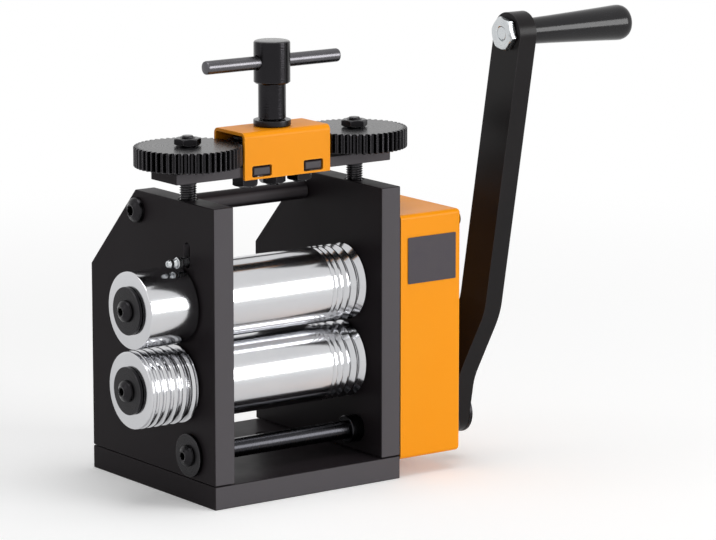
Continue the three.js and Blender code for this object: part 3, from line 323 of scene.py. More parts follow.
class Form:
    """A solid in millimetres that bmesh operators shape."""

    def __init__(self, mesh: bmesh.types.BMesh | None = None) -> None:
        """Takes over a bmesh, or starts an empty one."""
        self.mesh = mesh or bmesh.new()

    @classmethod
    def turned(cls, profile: Profile, axis: Axis = Axis.X, steps: int = 72) -> "Form":
        """Spins a profile into a closed solid.

        Args:
            profile: (radius, place along the axis) points, closed on the axis or on themselves.
            axis: Axis of the spin.
            steps: Faces in a full turn.

        Returns:
            The solid.
        """
        made = cls()
        verts = [made.mesh.verts.new(axis.point(*point)) for point in profile]
        edges = [made.mesh.edges.new(pair) for pair in zip(verts, verts[1:])]
        bmesh.ops.spin(made.mesh, geom=verts + edges, cent=(0, 0, 0), axis=axis.value,
                       angle=2 * math.pi, steps=steps, use_merge=True)
        return made.healed()

    @classmethod
    def extruded(cls, outline: Profile, length: float, axis: Axis = Axis.Z,
                 rounded: dict[int, float] | None = None, arc: int = 8) -> "Form":
        """Extrudes an outline along an axis from 0.

        Args:
            outline: Corners in the plane square to the axis.
            length: Length of the prism.
            axis: Direction of the extrusion.
            rounded: Radius by corner number, for corners that are rounded.
            arc: Segments of a rounded corner.

        Returns:
            The solid.
        """
        made = cls()
        verts = [made.mesh.verts.new(axis.flat(*point)) for point in outline]
        made.mesh.faces.new(verts)
        for corner, radius in sorted((rounded or {}).items()):
            bmesh.ops.bevel(made.mesh, geom=[verts[corner]], offset=radius, offset_type="OFFSET",
                            segments=arc, profile=0.5, affect="VERTICES", material=-1,
                            clamp_overlap=False)
        return made.raised(Vector(axis.value) * length)

    @classmethod
    def block(cls, low: Place, high: Place) -> "Form":
        """A box between two corners."""
        made = cls()
        size = [h - l for l, h in zip(low, high)]
        middle = [(h + l) / 2 for l, h in zip(low, high)]
        stretch = Matrix.Diagonal((*size, 1.0))
        bmesh.ops.create_cube(made.mesh, size=1.0, matrix=Matrix.Translation(middle) @ stretch)
        return made

    @classmethod
    def hexagon(cls, across_flats: float, low: float, high: float, axis: Axis = Axis.X,
                turn: float = 0.0) -> "Form":
        """A six sided prism along an axis, with its corners turned by some degrees."""
        made = cls()
        radius = across_flats / math.sqrt(3)
        stand = Matrix.Rotation(math.pi / 2, 4, "Y") if axis is Axis.X else Matrix.Identity(4)
        place = Vector(axis.value) * (low + high) / 2
        bmesh.ops.create_cone(made.mesh, cap_ends=True, segments=6, radius1=radius, radius2=radius,
                              depth=high - low, matrix=Matrix.Translation(place) @ stand
                              @ Matrix.Rotation(math.radians(turn), 4, "Z"))
        return made

    def raised(self, way: Vector) -> "Form":
        """Gives flat faces a thickness by extruding them."""
        kept = bmesh.ops.extrude_face_region(self.mesh, geom=self.mesh.faces[:], use_keep_orig=True)
        verts = [item for item in kept["geom"] if isinstance(item, bmesh.types.BMVert)]
        bmesh.ops.translate(self.mesh, verts=verts, vec=way)
        return self.healed()

    def healed(self, gap: float = 1e-4) -> "Form":
        """Merges doubles, drops faces of no area and turns all faces outwards."""
        bmesh.ops.remove_doubles(self.mesh, verts=self.mesh.verts[:], dist=gap)
        bmesh.ops.dissolve_degenerate(self.mesh, edges=self.mesh.edges[:], dist=gap)
        bmesh.ops.recalc_face_normals(self.mesh, faces=self.mesh.faces[:])
        return self

    def moved(self, x: float = 0.0, y: float = 0.0, z: float = 0.0) -> "Form":
        """Shifts the form."""
        bmesh.ops.translate(self.mesh, verts=self.mesh.verts[:], vec=(x, y, z))
        return self

    def spun(self, degrees: float, about: str = "X", centre: Place = (0.0, 0.0, 0.0)) -> "Form":
        """Turns the form about a line through a point."""
        bmesh.ops.rotate(self.mesh, verts=self.mesh.verts[:], cent=centre,
                         matrix=Matrix.Rotation(math.radians(degrees), 3, about))
        return self

    def softened(self, width: float, segments: int = 2, angle: float = 32.0,
                 where: Callable[[Vector], bool] | None = None) -> "Form":
        """Bevels the edges that are sharper than an angle.

        Args:
            width: Bevel width in mm.
            segments: Faces across the bevel.
            angle: Least angle between an edge's faces, in degrees.
            where: Test of an edge's middle, to bevel only some edges.

        Returns:
            The same form.
        """
        limit = math.radians(angle)
        sharp = [edge for edge in self.mesh.edges
                 if len(edge.link_faces) == 2 and edge.calc_face_angle(0.0) > limit
                 and (where is None or where((edge.verts[0].co + edge.verts[1].co) / 2))]
        bmesh.ops.bevel(self.mesh, geom=sharp, offset=width, offset_type="OFFSET",
                        segments=segments, profile=0.5, affect="EDGES", material=-1,
                        clamp_overlap=True)
        return self

    def cut(self, *tools: "Form") -> "Form":
        """Takes the tools out of the form."""
        return self._combined("DIFFERENCE", tools)

    def united(self, *others: "Form") -> "Form":
        """Fuses other forms to this one."""
        return self._combined("UNION", others)

    def shared(self, *others: "Form") -> "Form":
        """Keeps what this form and the others share."""
        return self._combined("INTERSECT", others)

    def _combined(self, operation: str, tools: Sequence["Form"]) -> "Form":
        """Runs an exact boolean with each tool in turn."""
        for tool in tools:
            blank, cutter = self._temporary("blank"), tool._temporary("cutter")
            modifier = blank.modifiers.new("combine", "BOOLEAN")
            modifier.operation, modifier.solver, modifier.object = operation, "EXACT", cutter
            graph = bpy.context.evaluated_depsgraph_get()
            made = bpy.data.meshes.new_from_object(blank.evaluated_get(graph))
            self.mesh.clear()
            self.mesh.from_mesh(made)
            for thing in (blank, cutter):
                data = thing.data
                bpy.data.objects.remove(thing)
                bpy.data.meshes.remove(data)
            bpy.data.meshes.remove(made)
        bmesh.ops.remove_doubles(self.mesh, verts=self.mesh.verts[:], dist=1e-4)
        return self

    def _temporary(self, name: str) -> bpy.types.Object:
        """An object of this form for a boolean."""
        data = bpy.data.meshes.new(name)
        self.mesh.to_mesh(data)
        made = bpy.data.objects.new(name, data)
        bpy.context.scene.collection.objects.link(made)
        return made

    def with_parts(self, *others: "Form") -> "Form":
        """Adds other closed shells beside this one, without fusing them."""
        for other in others:
            data = bpy.data.meshes.new("part")
            other.mesh.to_mesh(data)
            self.mesh.from_mesh(data)
            bpy.data.meshes.remove(data)
        return self

    def finished(self, name: str, finish: Finish, body: str, nodes: Sequence[str],
                 axis: Axis = Axis.Z, centre: Place = (0.0, 0.0, 0.0),
                 sharp: float = 32.0) -> bpy.types.Object:
        """Makes the form a dressed piece on its body.

        Args:
            name: Name of the piece.
            finish: Its surface.
            body: CAD body that carries it, or nothing for a piece that is left on no body.
            nodes: CAD nodes that it stands for.
            axis: Axis of its machining marks.
            centre: A point on that axis, in mm.
            sharp: Angle in degrees above which an edge stays crisp.

        Returns:
            The object, at the origin and unturned.
        """
        limit = math.radians(sharp)
        for face in self.mesh.faces:
            face.smooth = True
        for edge in self.mesh.edges:
            edge.smooth = edge.calc_face_angle(0.0) < limit
        bmesh.ops.scale(self.mesh, verts=self.mesh.verts[:], vec=(MM, MM, MM))
        data = bpy.data.meshes.new(name)
        self.mesh.to_mesh(data)
        self.mesh.free()
        made = bpy.data.objects.new(name, data)
        bpy.context.scene.collection.objects.link(made)
        made.data.materials.append(finish.material(axis, centre))
        weigh = made.modifiers.new("even shading", "WEIGHTED_NORMAL")
        weigh.keep_sharp = True
        if body:
            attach(made, body)
        if nodes:
            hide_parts(*nodes)
        log.info("%s: %d faces on %s", name, len(data.polygons), body)
        return made


def sleeve(bore: float, radius: float, start: float, end: float, axis: Axis = Axis.X,
           steps: int = 72) -> Form:
    """A tube or washer between two places along an axis."""
    profile = [(bore, start), (radius, start), (radius, end), (bore, end), (bore, start)]
    return Form.turned(profile, axis, steps)


def bar(radius: float, start: float, end: float, axis: Axis = Axis.X, steps: int = 72) -> Form:
    """A plain round bar between two places along an axis."""
    return Form.turned([(0, start), (radius, start), (radius, end), (0, end)], axis, steps)


def drill(radius: float, start: float, end: float, axis: Axis = Axis.X, chamfer: float = 0.4,
          steps: int = 56) -> Form:
    """A cutter for a through hole from start to end, with a chamfer at both mouths."""
    wide, far = radius + chamfer + 1.0, 1.0
    return Form.turned([
        (0, start - far), (wide, start - far), (radius, start + chamfer), (radius, end - chamfer),
        (wide, end + far), (0, end + far),
    ], axis, steps)


def hex_nut(across_flats: float, bore: float, height: float, axis: Axis = Axis.Z,
            turn: float = 0.0) -> Form:
    """A nut from 0 along its axis, its corners turned off by a chamfer at both faces."""
    corner, face = across_flats / math.sqrt(3), across_flats / 2 * 0.97
    blank = Form.hexagon(across_flats, 0.0, height, axis, turn)
    fall = (corner - face) * math.tan(math.radians(30))
    lathe = Form.turned([
        (0, 0), (face, 0), (corner + 0.1, fall + 0.05), (corner + 0.1, height - fall - 0.05),
        (face, height), (0, height),
    ], axis, 48)
    return blank.shared(lathe).cut(drill(bore, 0, height, axis, 0.35, 36))


def thread(crest: float, pitch: float, start: float, end: float, axis: Axis = Axis.Z,
           steps: int = 32) -> Form:
    """A right hand screw thread with flat cut ends.

    Args:
        crest: Outer radius.
        pitch: Advance in a turn.
        start: Lower end along the axis.
        end: Upper end along the axis.
        axis: Axis of the screw.
        steps: Faces in a turn.

    Returns:
        The solid.
    """
    made = Form()
    root = crest - 0.55 * pitch
    low = start - 1.5 * pitch
    points = [(root, 0.0), (root, 0.12 * pitch), (crest, 0.44 * pitch), (crest, 0.56 * pitch),
              (root, 0.88 * pitch), (root, pitch)]
    verts = [made.mesh.verts.new(axis.point(radius, low + along)) for radius, along in points]
    edges = [made.mesh.edges.new(pair) for pair in zip(verts, verts[1:])]
    turns = math.ceil((end - start) / pitch) + 3
    rise = Vector(axis.value) * (pitch / steps)
    bmesh.ops.spin(made.mesh, geom=verts + edges, cent=(0, 0, 0), axis=axis.value, dvec=rise,
                   angle=2 * math.pi * turns, steps=steps * turns)
    bmesh.ops.remove_doubles(made.mesh, verts=made.mesh.verts[:], dist=1e-4)
    along = Vector(axis.value)
    for place, way in ((start, -1.0), (end, 1.0)):
        whole = made.mesh.verts[:] + made.mesh.edges[:] + made.mesh.faces[:]
        bmesh.ops.bisect_plane(made.mesh, geom=whole, plane_co=along * place,
                               plane_no=along * way, clear_outer=True)
        rim = [edge for edge in made.mesh.edges if edge.is_boundary
               and all(abs(v.co.dot(along) - place) < 1e-4 for v in edge.verts)]
        bmesh.ops.contextual_create(made.mesh, geom=rim)
    return made.healed(1e-5)


@dataclass(frozen=True)
class ButtonScrew:
    """A button head socket screw along X, its seat at 0 and its shank towards -X."""

    length: float                # shank below the seat
    radius: float
    head: float                  # radius of the head
    height: float                # height of the head
    key: float                   # socket width across flats
    washer: tuple[float, float] | None = None    # radius and thickness

    def made(self) -> Form:
        """The screw, with its washer as a shell of its own."""
        radius, head, height, key = self.radius, self.head, self.height, self.key
        thick = self.washer[1] if self.washer else 0.0
        top = thick + height
        crown = [(head * math.cos(math.radians(a)) * 0.98,
                  thick + 0.25 * height + 0.75 * height * math.sin(math.radians(a)))
                 for a in (0, 14, 28, 42, 56)]
        flat = crown[-1][0]
        body = Form.turned([
            (0, -self.length), (radius - 0.4, -self.length), (radius, -self.length + 0.4),
            (radius, thick), (head - 0.15, thick), (head, thick + 0.15), *crown,
            (flat * 0.86, top), (0, top),
        ], Axis.X, 48)
        socket = Form.hexagon(key, top - height * 0.62, top + 1, Axis.X, 12.0)
        lead = Form.turned([(0, top - 0.28), (key * 0.44, top - 0.28), (key * 0.66, top + 0.1),
                            (0, top + 0.1)], Axis.X, 48)
        body.cut(socket, lead)
        if self.washer:
            bore, rim = radius + 0.1, self.washer[0]
            body.with_parts(sleeve(bore, rim, 0, thick).softened(0.22, 2))
        return body

    def fitted(self, side: int, seat: Place, name: str, body: str, node: str) -> None:
        """Makes the screw, turns its head outwards and sets it on its seat.

        Args:
            side: -1 for a head that faces left, 1 for one that faces right.
            seat: Middle of the seat, in mm.
            name: Name of the piece.
            body: CAD body that carries it.
            node: CAD node that it stands for.
        """
        screw = self.made()
        if side < 0:
            screw.spun(180, "Z")
        screw.moved(*seat).finished(name, BLACK_OXIDE, body, [node], Axis.X, (0, *seat[1:]))


TIE_SCREW = ButtonScrew(20.6, 2.5, 5.5, 3.6, 4.0)
ROLL_SCREW = ButtonScrew(10.0, 2.5, 4.75, 2.8, 3.2, (10.2, 1.5))
SHAFT_SCREW = ButtonScrew(10.0, 2.5, 4.75, 2.8, 3.2, (9.2, 1.5))
COVER_SCREW = ButtonScrew(40.8, 2.0, 3.8, 1.3, 2.5)


@dataclass
class Gear:
    """A straight toothed gear with its boss and bore."""

    teeth: int
    module: float
    width: float
    bore: float
    backlash: float = 0.2
    phase: float = 0.0
    rim: float = 0.35            # turned off the tips' corners

    def half_tooth(self, radius: float) -> float:
        """Half the angle of an involute tooth at a radius."""
        pressure = math.radians(20)
        pitch = self.teeth * self.module / 2
        base = pitch * math.cos(pressure)
        roll = math.acos(min(1.0, base / radius))
        involute = math.tan(pressure) - pressure - (math.tan(roll) - roll)
        return math.pi / 2 / self.teeth - self.backlash / 2 / pitch + involute

    def flank(self) -> list[tuple[float, float]]:
        """(radius, half angle) points of one tooth from its root fillet to its tip."""
        pitch = self.teeth * self.module / 2
        root, tip = pitch - 1.25 * self.module, pitch + self.module
        step = math.pi / self.teeth
        low = self.half_tooth(root + 0.3 * self.module)
        fillet = [(root, low + 0.42 * (step - low)),
                  (root + 0.1 * self.module, low + 0.1 * (step - low))]
        radii = [root + level * self.module for level in (0.3, 0.75, 1.25, 1.7, 2.1)]
        return fillet + [(radius, self.half_tooth(radius)) for radius in (*radii, tip)]

    def blank(self, flank: Profile, axis: Axis) -> Form:
        """Repeats one tooth round the axis and raises the ring of teeth to the gear's width.

        Args:
            flank: (radius, half angle) points of one tooth.
            axis: Axis of the gear.

        Returns:
            The toothed blank from 0 along the axis.
        """
        made = Form()
        angles = [(radius, self.phase - half) for radius, half in flank]
        angles += [(radius, self.phase + half) for radius, half in reversed(flank)]
        angles.append((angles[0][0], angles[0][1] + 2 * math.pi / self.teeth))
        verts = [made.mesh.verts.new(axis.flat(r * math.cos(a), r * math.sin(a)))
                 for r, a in angles]
        edges = [made.mesh.edges.new(pair) for pair in zip(verts, verts[1:])]
        bmesh.ops.spin(made.mesh, geom=verts + edges, cent=(0, 0, 0), axis=axis.value,
                       angle=2 * math.pi, steps=self.teeth, use_duplicate=True)
        bmesh.ops.remove_doubles(made.mesh, verts=made.mesh.verts[:], dist=1e-3)
        bmesh.ops.contextual_create(made.mesh, geom=made.mesh.edges[:])
        return made.raised(Vector(axis.value) * self.width)

    def made(self, axis: Axis, boss: Place | None = None, flank: Profile | None = None) -> Form:
        """The whole gear from 0 along its axis.

        Args:
            axis: Axis of the gear.
            boss: Radius, start and end of a plain boss that is one piece with it.
            flank: Tooth form, if it isn't the involute one.

        Returns:
            The gear, with the tips' corners turned off and its bore cut.
        """
        flank = flank or self.flank()
        form = self.blank(flank, axis)
        tip = max(radius for radius, _ in flank)
        low, high = 0.0, self.width
        form.shared(Form.turned([
            (0, low), (tip - self.rim, low), (tip + 0.05, low + self.rim),
            (tip + 0.05, high - self.rim), (tip - self.rim, high), (0, high),
        ], axis, 120))
        if boss:
            radius, start, end = boss
            form.united(bar(radius, start, end, axis).softened(0.3, 2))
            low, high = min(low, start), max(high, end)
        return form.cut(drill(self.bore, low, high, axis, 0.5))


# Sub-assemblies

@dataclass
class Frame:
    """Base plate, side plates, tie rod and their screws."""

    body: str = "frame"
    depth: float = 95.0
    base: float = 10.0
    foot: float = 10.3           # lower edge of the side plates
    height: float = 128.0
    back_height: float = 91.0
    top_depth: float = 59.5
    edge: float = 0.5
    window: Place = (10.3, 66.5, 114.8)          # half width, lower and upper end
    skin: float = 2.5            # left of a plate beside its window
    travel: tuple[float, float] = (0.7, 6.0)     # of the upper roll, down and up
    tie: tuple[float, float] = (10.0, 119.5)
    tie_radius: float = 4.0
    tie_gap: float = 0.3
    tapped: float = 2.8          # radius of a bore for an M5 screw
    bench_hole: float = 4.5
    bench_holes: Profile = ((-25, 20), (25, 20))
    base_screws: Profile = ((-43.0, -12.0), (-43.0, 34.0), (43.0, -12.0), (43.0, 34.0))
    base_head: float = 4.2
    base_shank: float = 2.5
    fit: float = 0.15            # play round a base screw
    bush: tuple[float, float] = (7.3, 10.3)
    shaft_bores: tuple[float, float] = (4.4, 5.3)        # in the left and right plate
    adjusting_bore: tuple[float, float] = (3.85, 107.8)  # radius and lower end
    nipple_slot: float = 2.25
    cover_bore: tuple[float, float] = (2.3, 8.3)         # radius and depth

    def base_screw(self, x: float, y: float, grow: float = 0.0) -> Form:
        """Countersunk screw from below, or its hole when grown."""
        head, shank = self.base_head + grow, self.base_shank + grow
        low, rim, top = 0.15 - (1.2 if grow else 0), 0.35, 24 + grow
        return Form.turned([(0, low), (head, low), (head, rim), (shank, rim + head - shank),
                            (shank, top), (0, top)], Axis.Z, 40).moved(x, y)

    def make_base(self) -> None:
        """Ground base plate with its bench holes and screw holes."""
        half = self.depth / 2
        plate = Form.block((-PLATE_OUTER, -half, 0), (PLATE_OUTER, half, self.base))
        plate.softened(self.edge, 3)
        plate.cut(*(drill(self.bench_hole, 0, self.base, Axis.Z, 0.6).moved(x, y)
                    for x, y in self.bench_holes))
        plate.cut(*(self.base_screw(x, y, self.fit) for x, y in self.base_screws))
        plate.finished("painted_base_plate", BLACK_PAINT, self.body, ["base_plate"])
        for number, (x, y) in enumerate(self.base_screws, 1):
            socket = Form.hexagon(3.0, 0, 2.0, Axis.Z, 15.0 * number).moved(x, y)
            self.base_screw(x, y).cut(socket).finished(
                f"base_socket_screw_{number}", BLACK_OXIDE, self.body, [f"base_screw_{number}"],
                Axis.Z, (x, y, 0))

    def slot(self, start: float, y: float, z: float, radius: float) -> Form:
        """Cutter for an upright round-ended slot through a skin, as long as the travel."""
        low, high = z - self.travel[0] - radius, z + self.travel[1] + radius
        outline = [(y - radius, low), (y + radius, low), (y + radius, high), (y - radius, high)]
        rounded = dict.fromkeys(range(4), radius - 0.01)
        return Form.extruded(outline, self.skin + 2, Axis.X, rounded, 10).moved(start - 1)

    def plate_cutters(self, side: int, start: float) -> list[Form]:
        """Bores, slots and screw holes of a side plate.

        Args:
            side: -1 for the left plate, 1 for the right one.
            start: Left face of the plate.

        Returns:
            A cutter for each.
        """
        left = side < 0
        shaft_bore = self.shaft_bores[0 if left else 1]
        bores = [(ROLL_Y, LOWER_Z, self.bush[1] + 0.05), (CRANK_Y, CRANK_Z, shaft_bore),
                 (*self.tie, self.tapped)]
        cutters = [drill(radius, start, start + PLATE_THICK, Axis.X, 0.4).moved(0, y, z)
                   for y, z, radius in bores]
        radius, low = self.adjusting_bore
        over = self.height + 1
        cutters.append(Form.turned([
            (0, low), (radius, low), (radius, self.height - 0.7), (radius + 1.7, over), (0, over),
        ], Axis.Z, 56).moved(side * SCREW_X, ROLL_Y))
        cutters.append(self.slot(start, ROLL_Y, UPPER_Z, self.bush[0]))
        if left:
            cutters.append(self.slot(start, NIPPLE_Y, NIPPLE_Z, self.nipple_slot))
        else:
            radius, depth = self.cover_bore
            cutters += [bar(radius, PLATE_OUTER - depth, PLATE_OUTER + 1, Axis.X, 24).moved(0, y, z)
                        for y, z in COVER_SCREWS]
        return cutters + [self.base_screw(x, y, self.fit)
                          for x, y in self.base_screws if x * side > 0]

    def make_plate(self, side: int, name: str) -> None:
        """One side plate with its sloping back corner, window and bores, and its bronze bush.

        Args:
            side: -1 for the left plate, 1 for the right one.
            name: "left" or "right".
        """
        half = self.depth / 2
        start = -PLATE_OUTER if side < 0 else PLATE_INNER
        mouth = start + PLATE_THICK
        outline = [(-half, self.foot), (half, self.foot), (half, self.back_height),
                   (-half + self.top_depth, self.height), (-half, self.height)]
        plate = Form.extruded(outline, PLATE_THICK, Axis.X).moved(start).softened(self.edge, 3)
        wide, low, high = self.window
        plate.cut(Form.block((start + self.skin, ROLL_Y - wide, low),
                             (mouth + 5, ROLL_Y + wide, high)))
        plate.softened(0.35, 2, 60, lambda p: abs(p.x - mouth) < 0.01
                       and low - 0.01 < p.z < high + 0.01 and abs(p.y - ROLL_Y) < wide + 0.01)
        plate.cut(*self.plate_cutters(side, start))
        plate.finished(f"{name}_painted_side_plate", BLACK_PAINT, self.body,
                       [f"side_plate_{name}"])
        ring = sleeve(*self.bush, start, mouth).softened(0.5, 2).moved(0, ROLL_Y, LOWER_Z)
        ring.finished(f"{name}_bronze_bush", BRONZE, self.body, [f"lower_roll_bush_{name}"],
                      Axis.X, (0, ROLL_Y, LOWER_Z))

    def make_tie(self) -> None:
        """Tie rod across the back of the plates, with a button head screw through each plate."""
        y, z = self.tie
        length = PLATE_INNER - self.tie_gap
        rod = bar(self.tie_radius, -length, length).softened(0.4, 2)
        rod.cut(*(bar(self.tapped, -length - 1, -length + 10.6).spun(turn, "Z")
                  for turn in (0, 180)))
        rod.moved(0, y, z).finished("painted_tie_rod", BLACK_PAINT, self.body, ["upper_tie_rod"])
        for side, name in SIDES:
            TIE_SCREW.fitted(side, (side * (PLATE_OUTER + self.tie_gap), y, z),
                             f"{name}_tie_socket_screw", self.body, f"tie_rod_screw_{name}")

    def make(self) -> None:
        """Makes the whole frame."""
        self.make_base()
        for side, name in SIDES:
            self.make_plate(side, name)
        self.make_tie()


@dataclass
class Rolls:
    """Both rolls with side rings, bearing blocks, roll gears and end screws."""

    radius: float = 16.5
    journal: float = 7.0
    play: float = 0.3            # round a journal
    end: float = 37.7
    ring: tuple[float, float] = (-72.5, -48.5)
    left: float = -72.2
    right: float = 73.8
    seats: tuple[float, float] = (-72.8, 74.1)   # of the end screws
    tapped: tuple[float, float] = (2.8, 10.3)    # radius and depth
    wire_grooves: Sequence[float] = (4.4, 3.9, 2.9, 2.2, 1.6)
    ring_grooves: Sequence[float] = (2.0, 2.4, 2.8, 3.2, 3.6, 4.0)
    land: float = 0.6
    ring_land: float = 0.85
    gear_form: Profile = ((0.729, 0.1353), (0.74, 0.1306), (0.853, 0.1206), (0.93, 0.1188),
                          (1.0, 0.1147), (1.08, 0.0953), (1.15, 0.0706), (1.2, 0.0471))
    key: float = 3.0
    ring_key: tuple[float, float] = (-69.5, -51.5)
    key_end: float = 71.8
    blocks: tuple[float, float] = (-45.2, 40.8)  # left faces of the bearing blocks
    block_thick: float = 7.2
    block_half: float = 10.0
    block_span: tuple[float, float] = (-9.5, 24.5)
    springs: tuple[float, float] = (-41.75, 44.25)
    spring_low: float = 67.3
    spring_rise: float = 6.4
    spring_radius: float = 2.8
    spring_turns: int = 4
    wire: float = 0.5

    def keyway(self, start: float, end: float, grow: float = 0.0) -> Form:
        """Key on top of a journal, or its slot when grown."""
        half = self.key / 2 + grow
        return Form.block((start - grow, -half, self.journal - half),
                          (end + grow, half, self.journal + half))

    def roll(self, key_start: float) -> Form:
        """A roll turned with its journals, with square wire grooves at the drive end."""
        r, j, e = self.radius, self.journal, self.end
        grooves: list[tuple[float, float]] = []
        place = e - self.land
        for width in self.wire_grooves:
            deep = r - width / 2 + 0.12
            grooves += [(r, place), (deep, place - width / 2 + 0.12),
                        (deep, place - width / 2 - 0.12), (r, place - width)]
            place -= width + self.land
        body = Form.turned([
            (0, self.left), (j - 0.6, self.left), (j, self.left + 0.6), (j, -e), (r - 0.7, -e),
            (r - 0.2, -e + 0.2), (r, -e + 0.7), *reversed(grooves), (r - 0.15, e - 0.25),
            (r - 0.6, e), (j, e), (j, self.right - 0.6), (j - 0.6, self.right), (0, self.right),
        ], Axis.X, 144)
        keys = [self.keyway(*span).softened(0.3, 1)
                for span in (self.ring_key, (key_start, self.key_end))]
        bore, depth = self.tapped
        ends = [bar(bore, self.left - 1, self.left + depth),
                bar(bore, self.right - depth, self.right + 1)]
        return body.united(*keys).cut(*ends)

    def side_ring(self, widths: Sequence[float]) -> Form:
        """A side ring, plain or with half-round wire grooves that widen towards the plate."""
        start, end = self.ring
        r, bore = self.radius, self.journal + self.play
        profile = [(bore, start), (r - 0.7, start), (r - 0.2, start + 0.2), (r, start + 0.7)]
        place = start + self.ring_land
        for width in widths:
            arc = [math.pi * step / 8 for step in range(9)]
            profile += [(r - width / 2 * math.sin(a), place + width / 2 * (1 - math.cos(a)))
                        for a in arc]
            place += width + self.ring_land
        profile += [(r, end - 0.6), (r - 0.6, end), (bore, end), (bore, start)]
        return Form.turned(profile, Axis.X, 144).cut(self.keyway(start - 1, end + 1, 0.2))

    def roll_gear(self, phase: float, hub: bool) -> Form:
        """One of the deep toothed gears that couple the rolls, the upper one with a long hub."""
        pitch = (UPPER_Z - LOWER_Z) / 2
        gear = Gear(10, 2 * pitch / 10, 12.0, self.journal + self.play, 0.3, phase, 0.5)
        flank = [(pitch * share, math.asin(half / share)) for share, half in self.gear_form]
        boss = (self.journal + 2.8, -13.2, 1.0) if hub else None
        form = gear.made(Axis.X, boss, flank).moved(61.5)
        return form.cut(self.keyway(40, 80, 0.2))

    def make_roll(self, name: str, z: float, key_start: float, widths: Sequence[float],
                  ring_node: str) -> None:
        """One roll with its side ring and end screws.

        Args:
            name: "lower" or "upper".
            z: Height of its axis.
            key_start: Left end of the key under its gears.
            widths: Widths of the grooves in its side ring.
            ring_node: CAD node of the side ring.
        """
        body = f"{name}_roll"
        centre = (0.0, ROLL_Y, z)
        self.roll(key_start).moved(0, ROLL_Y, z).finished(
            f"{name}_ground_roll", POLISHED_STEEL, body, [body], Axis.X, centre, 20.0)
        self.side_ring(widths).moved(0, ROLL_Y, z).finished(
            f"{name}_side_ring", POLISHED_STEEL, body, [ring_node], Axis.X, centre, 24.0)
        for side, seat, end in zip((-1, 1), self.seats, ("ring", "gear")):
            ROLL_SCREW.fitted(side, (seat, ROLL_Y, z), f"{name}_{end}_washer_screw", body,
                              f"{name}_{end}_screw")

    def make_gears(self) -> None:
        """Drive gear on the lower roll and the pair of roll gears."""
        down = math.atan2(CRANK_Z - LOWER_Z, CRANK_Y - ROLL_Y)
        drive = Gear(35, 1.25, 10.0, self.journal + self.play, 0.3, down, 0.5)
        made = (
            ("lower", "drive", LOWER_Z,
             drive.made(Axis.X).moved(49.9).cut(self.keyway(45, 65, 0.2))),
            ("lower", "roll", LOWER_Z, self.roll_gear(math.pi / 2, False)),
            ("upper", "roll", UPPER_Z, self.roll_gear(-math.pi / 2 + math.pi / 10, True)),
        )
        for roll, kind, z, form in made:
            form.moved(0, ROLL_Y, z).finished(
                f"{roll}_milled_{kind}_gear", MACHINED_STEEL, f"{roll}_roll",
                [f"{roll}_{kind}_gear"], Axis.X, (0, ROLL_Y, z))

    def make_block(self, name: str, start: float) -> None:
        """A bearing block in its window, the left one bored for the oil nipple."""
        low, high = self.block_span
        half = self.block_half
        outline = [(-half, low), (half, low), (half, high), (-half, high)]
        block = Form.extruded(outline, self.block_thick, Axis.X).moved(start).softened(0.45, 2)
        block.cut(drill(self.journal + self.play, start, start + self.block_thick, Axis.X, 0.5))
        if name == "left":
            block.cut(bar(1.8, start - 1, start + 3.8).moved(0, NIPPLE_Y - ROLL_Y,
                                                            NIPPLE_Z - UPPER_Z))
        block.moved(0, ROLL_Y, UPPER_Z).finished(
            f"{name}_sliding_block", BLACK_PAINT, "head", [f"bearing_block_{name}"])

    def make_nipple(self) -> None:
        """Oil nipple with a hexagon collar and a ball in its tip."""
        stem = Form.turned([
            (0, -3.5), (1.5, -3.5), (1.5, 0.3), (2.0, 0.3), (2.0, 5.8), (1.5, 5.8), (1.5, 8.4),
            (1.95, 8.8), (1.35, 9.8), (1.35, 10.2), (1.75, 11.1), (1.75, 11.8), (1.3, 12.6),
            (0.7, 12.6), (0.7, 12.2), (0, 12.45),
        ], Axis.X, 40)
        collar = Form.hexagon(4.6, 5.7, 8.3, Axis.X, 30.0).softened(0.25, 1)
        nipple = stem.united(collar).spun(180, "Z").moved(self.blocks[0], NIPPLE_Y, NIPPLE_Z)
        nipple.finished("zinc_oil_nipple", ZINC, "head", ["oil_nipple"], Axis.X,
                        (0, NIPPLE_Y, NIPPLE_Z))

    def make_spring(self, name: str, x: float) -> None:
        """Lift spring under a bearing block, baked in place and left on no body."""
        low, rise, turns = self.spring_low, self.spring_rise, self.spring_turns
        spring = Form()
        stand = Matrix.Rotation(math.pi / 2, 4, "X")
        ring = bmesh.ops.create_circle(
            spring.mesh, segments=10, radius=self.wire,
            matrix=Matrix.Translation((self.spring_radius, 0, 0)) @ stand)["verts"]
        rim = list({edge for vert in ring for edge in vert.link_edges})
        steps = 28 * turns
        bmesh.ops.spin(spring.mesh, geom=ring + rim, cent=(0, 0, 0), axis=(0, 0, 1),
                       dvec=(0, 0, rise / steps), angle=2 * math.pi * turns, steps=steps)
        ends = [edge for edge in spring.mesh.edges if edge.is_boundary]
        bmesh.ops.holes_fill(spring.mesh, edges=ends, sides=0)
        piece = spring.healed(1e-5).moved(x, ROLL_Y, low).finished(
            f"{name}_coiled_lift_spring", MACHINED_STEEL, "", [f"lift_spring_{name}"], Axis.Z,
            (x, ROLL_Y, low), 60.0)
        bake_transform(piece)

    def make(self) -> None:
        """Makes both rolls and all that turns or slides with them."""
        self.make_roll("lower", LOWER_Z, 50.9, self.ring_grooves, "lower_grooved_ring")
        self.make_roll("upper", UPPER_Z, 62.5, (), "upper_plain_ring")
        self.make_gears()
        for (_, name), start, spring in zip(SIDES, self.blocks, self.springs):
            self.make_block(name, start)
            self.make_spring(name, spring)
        self.make_nipple()


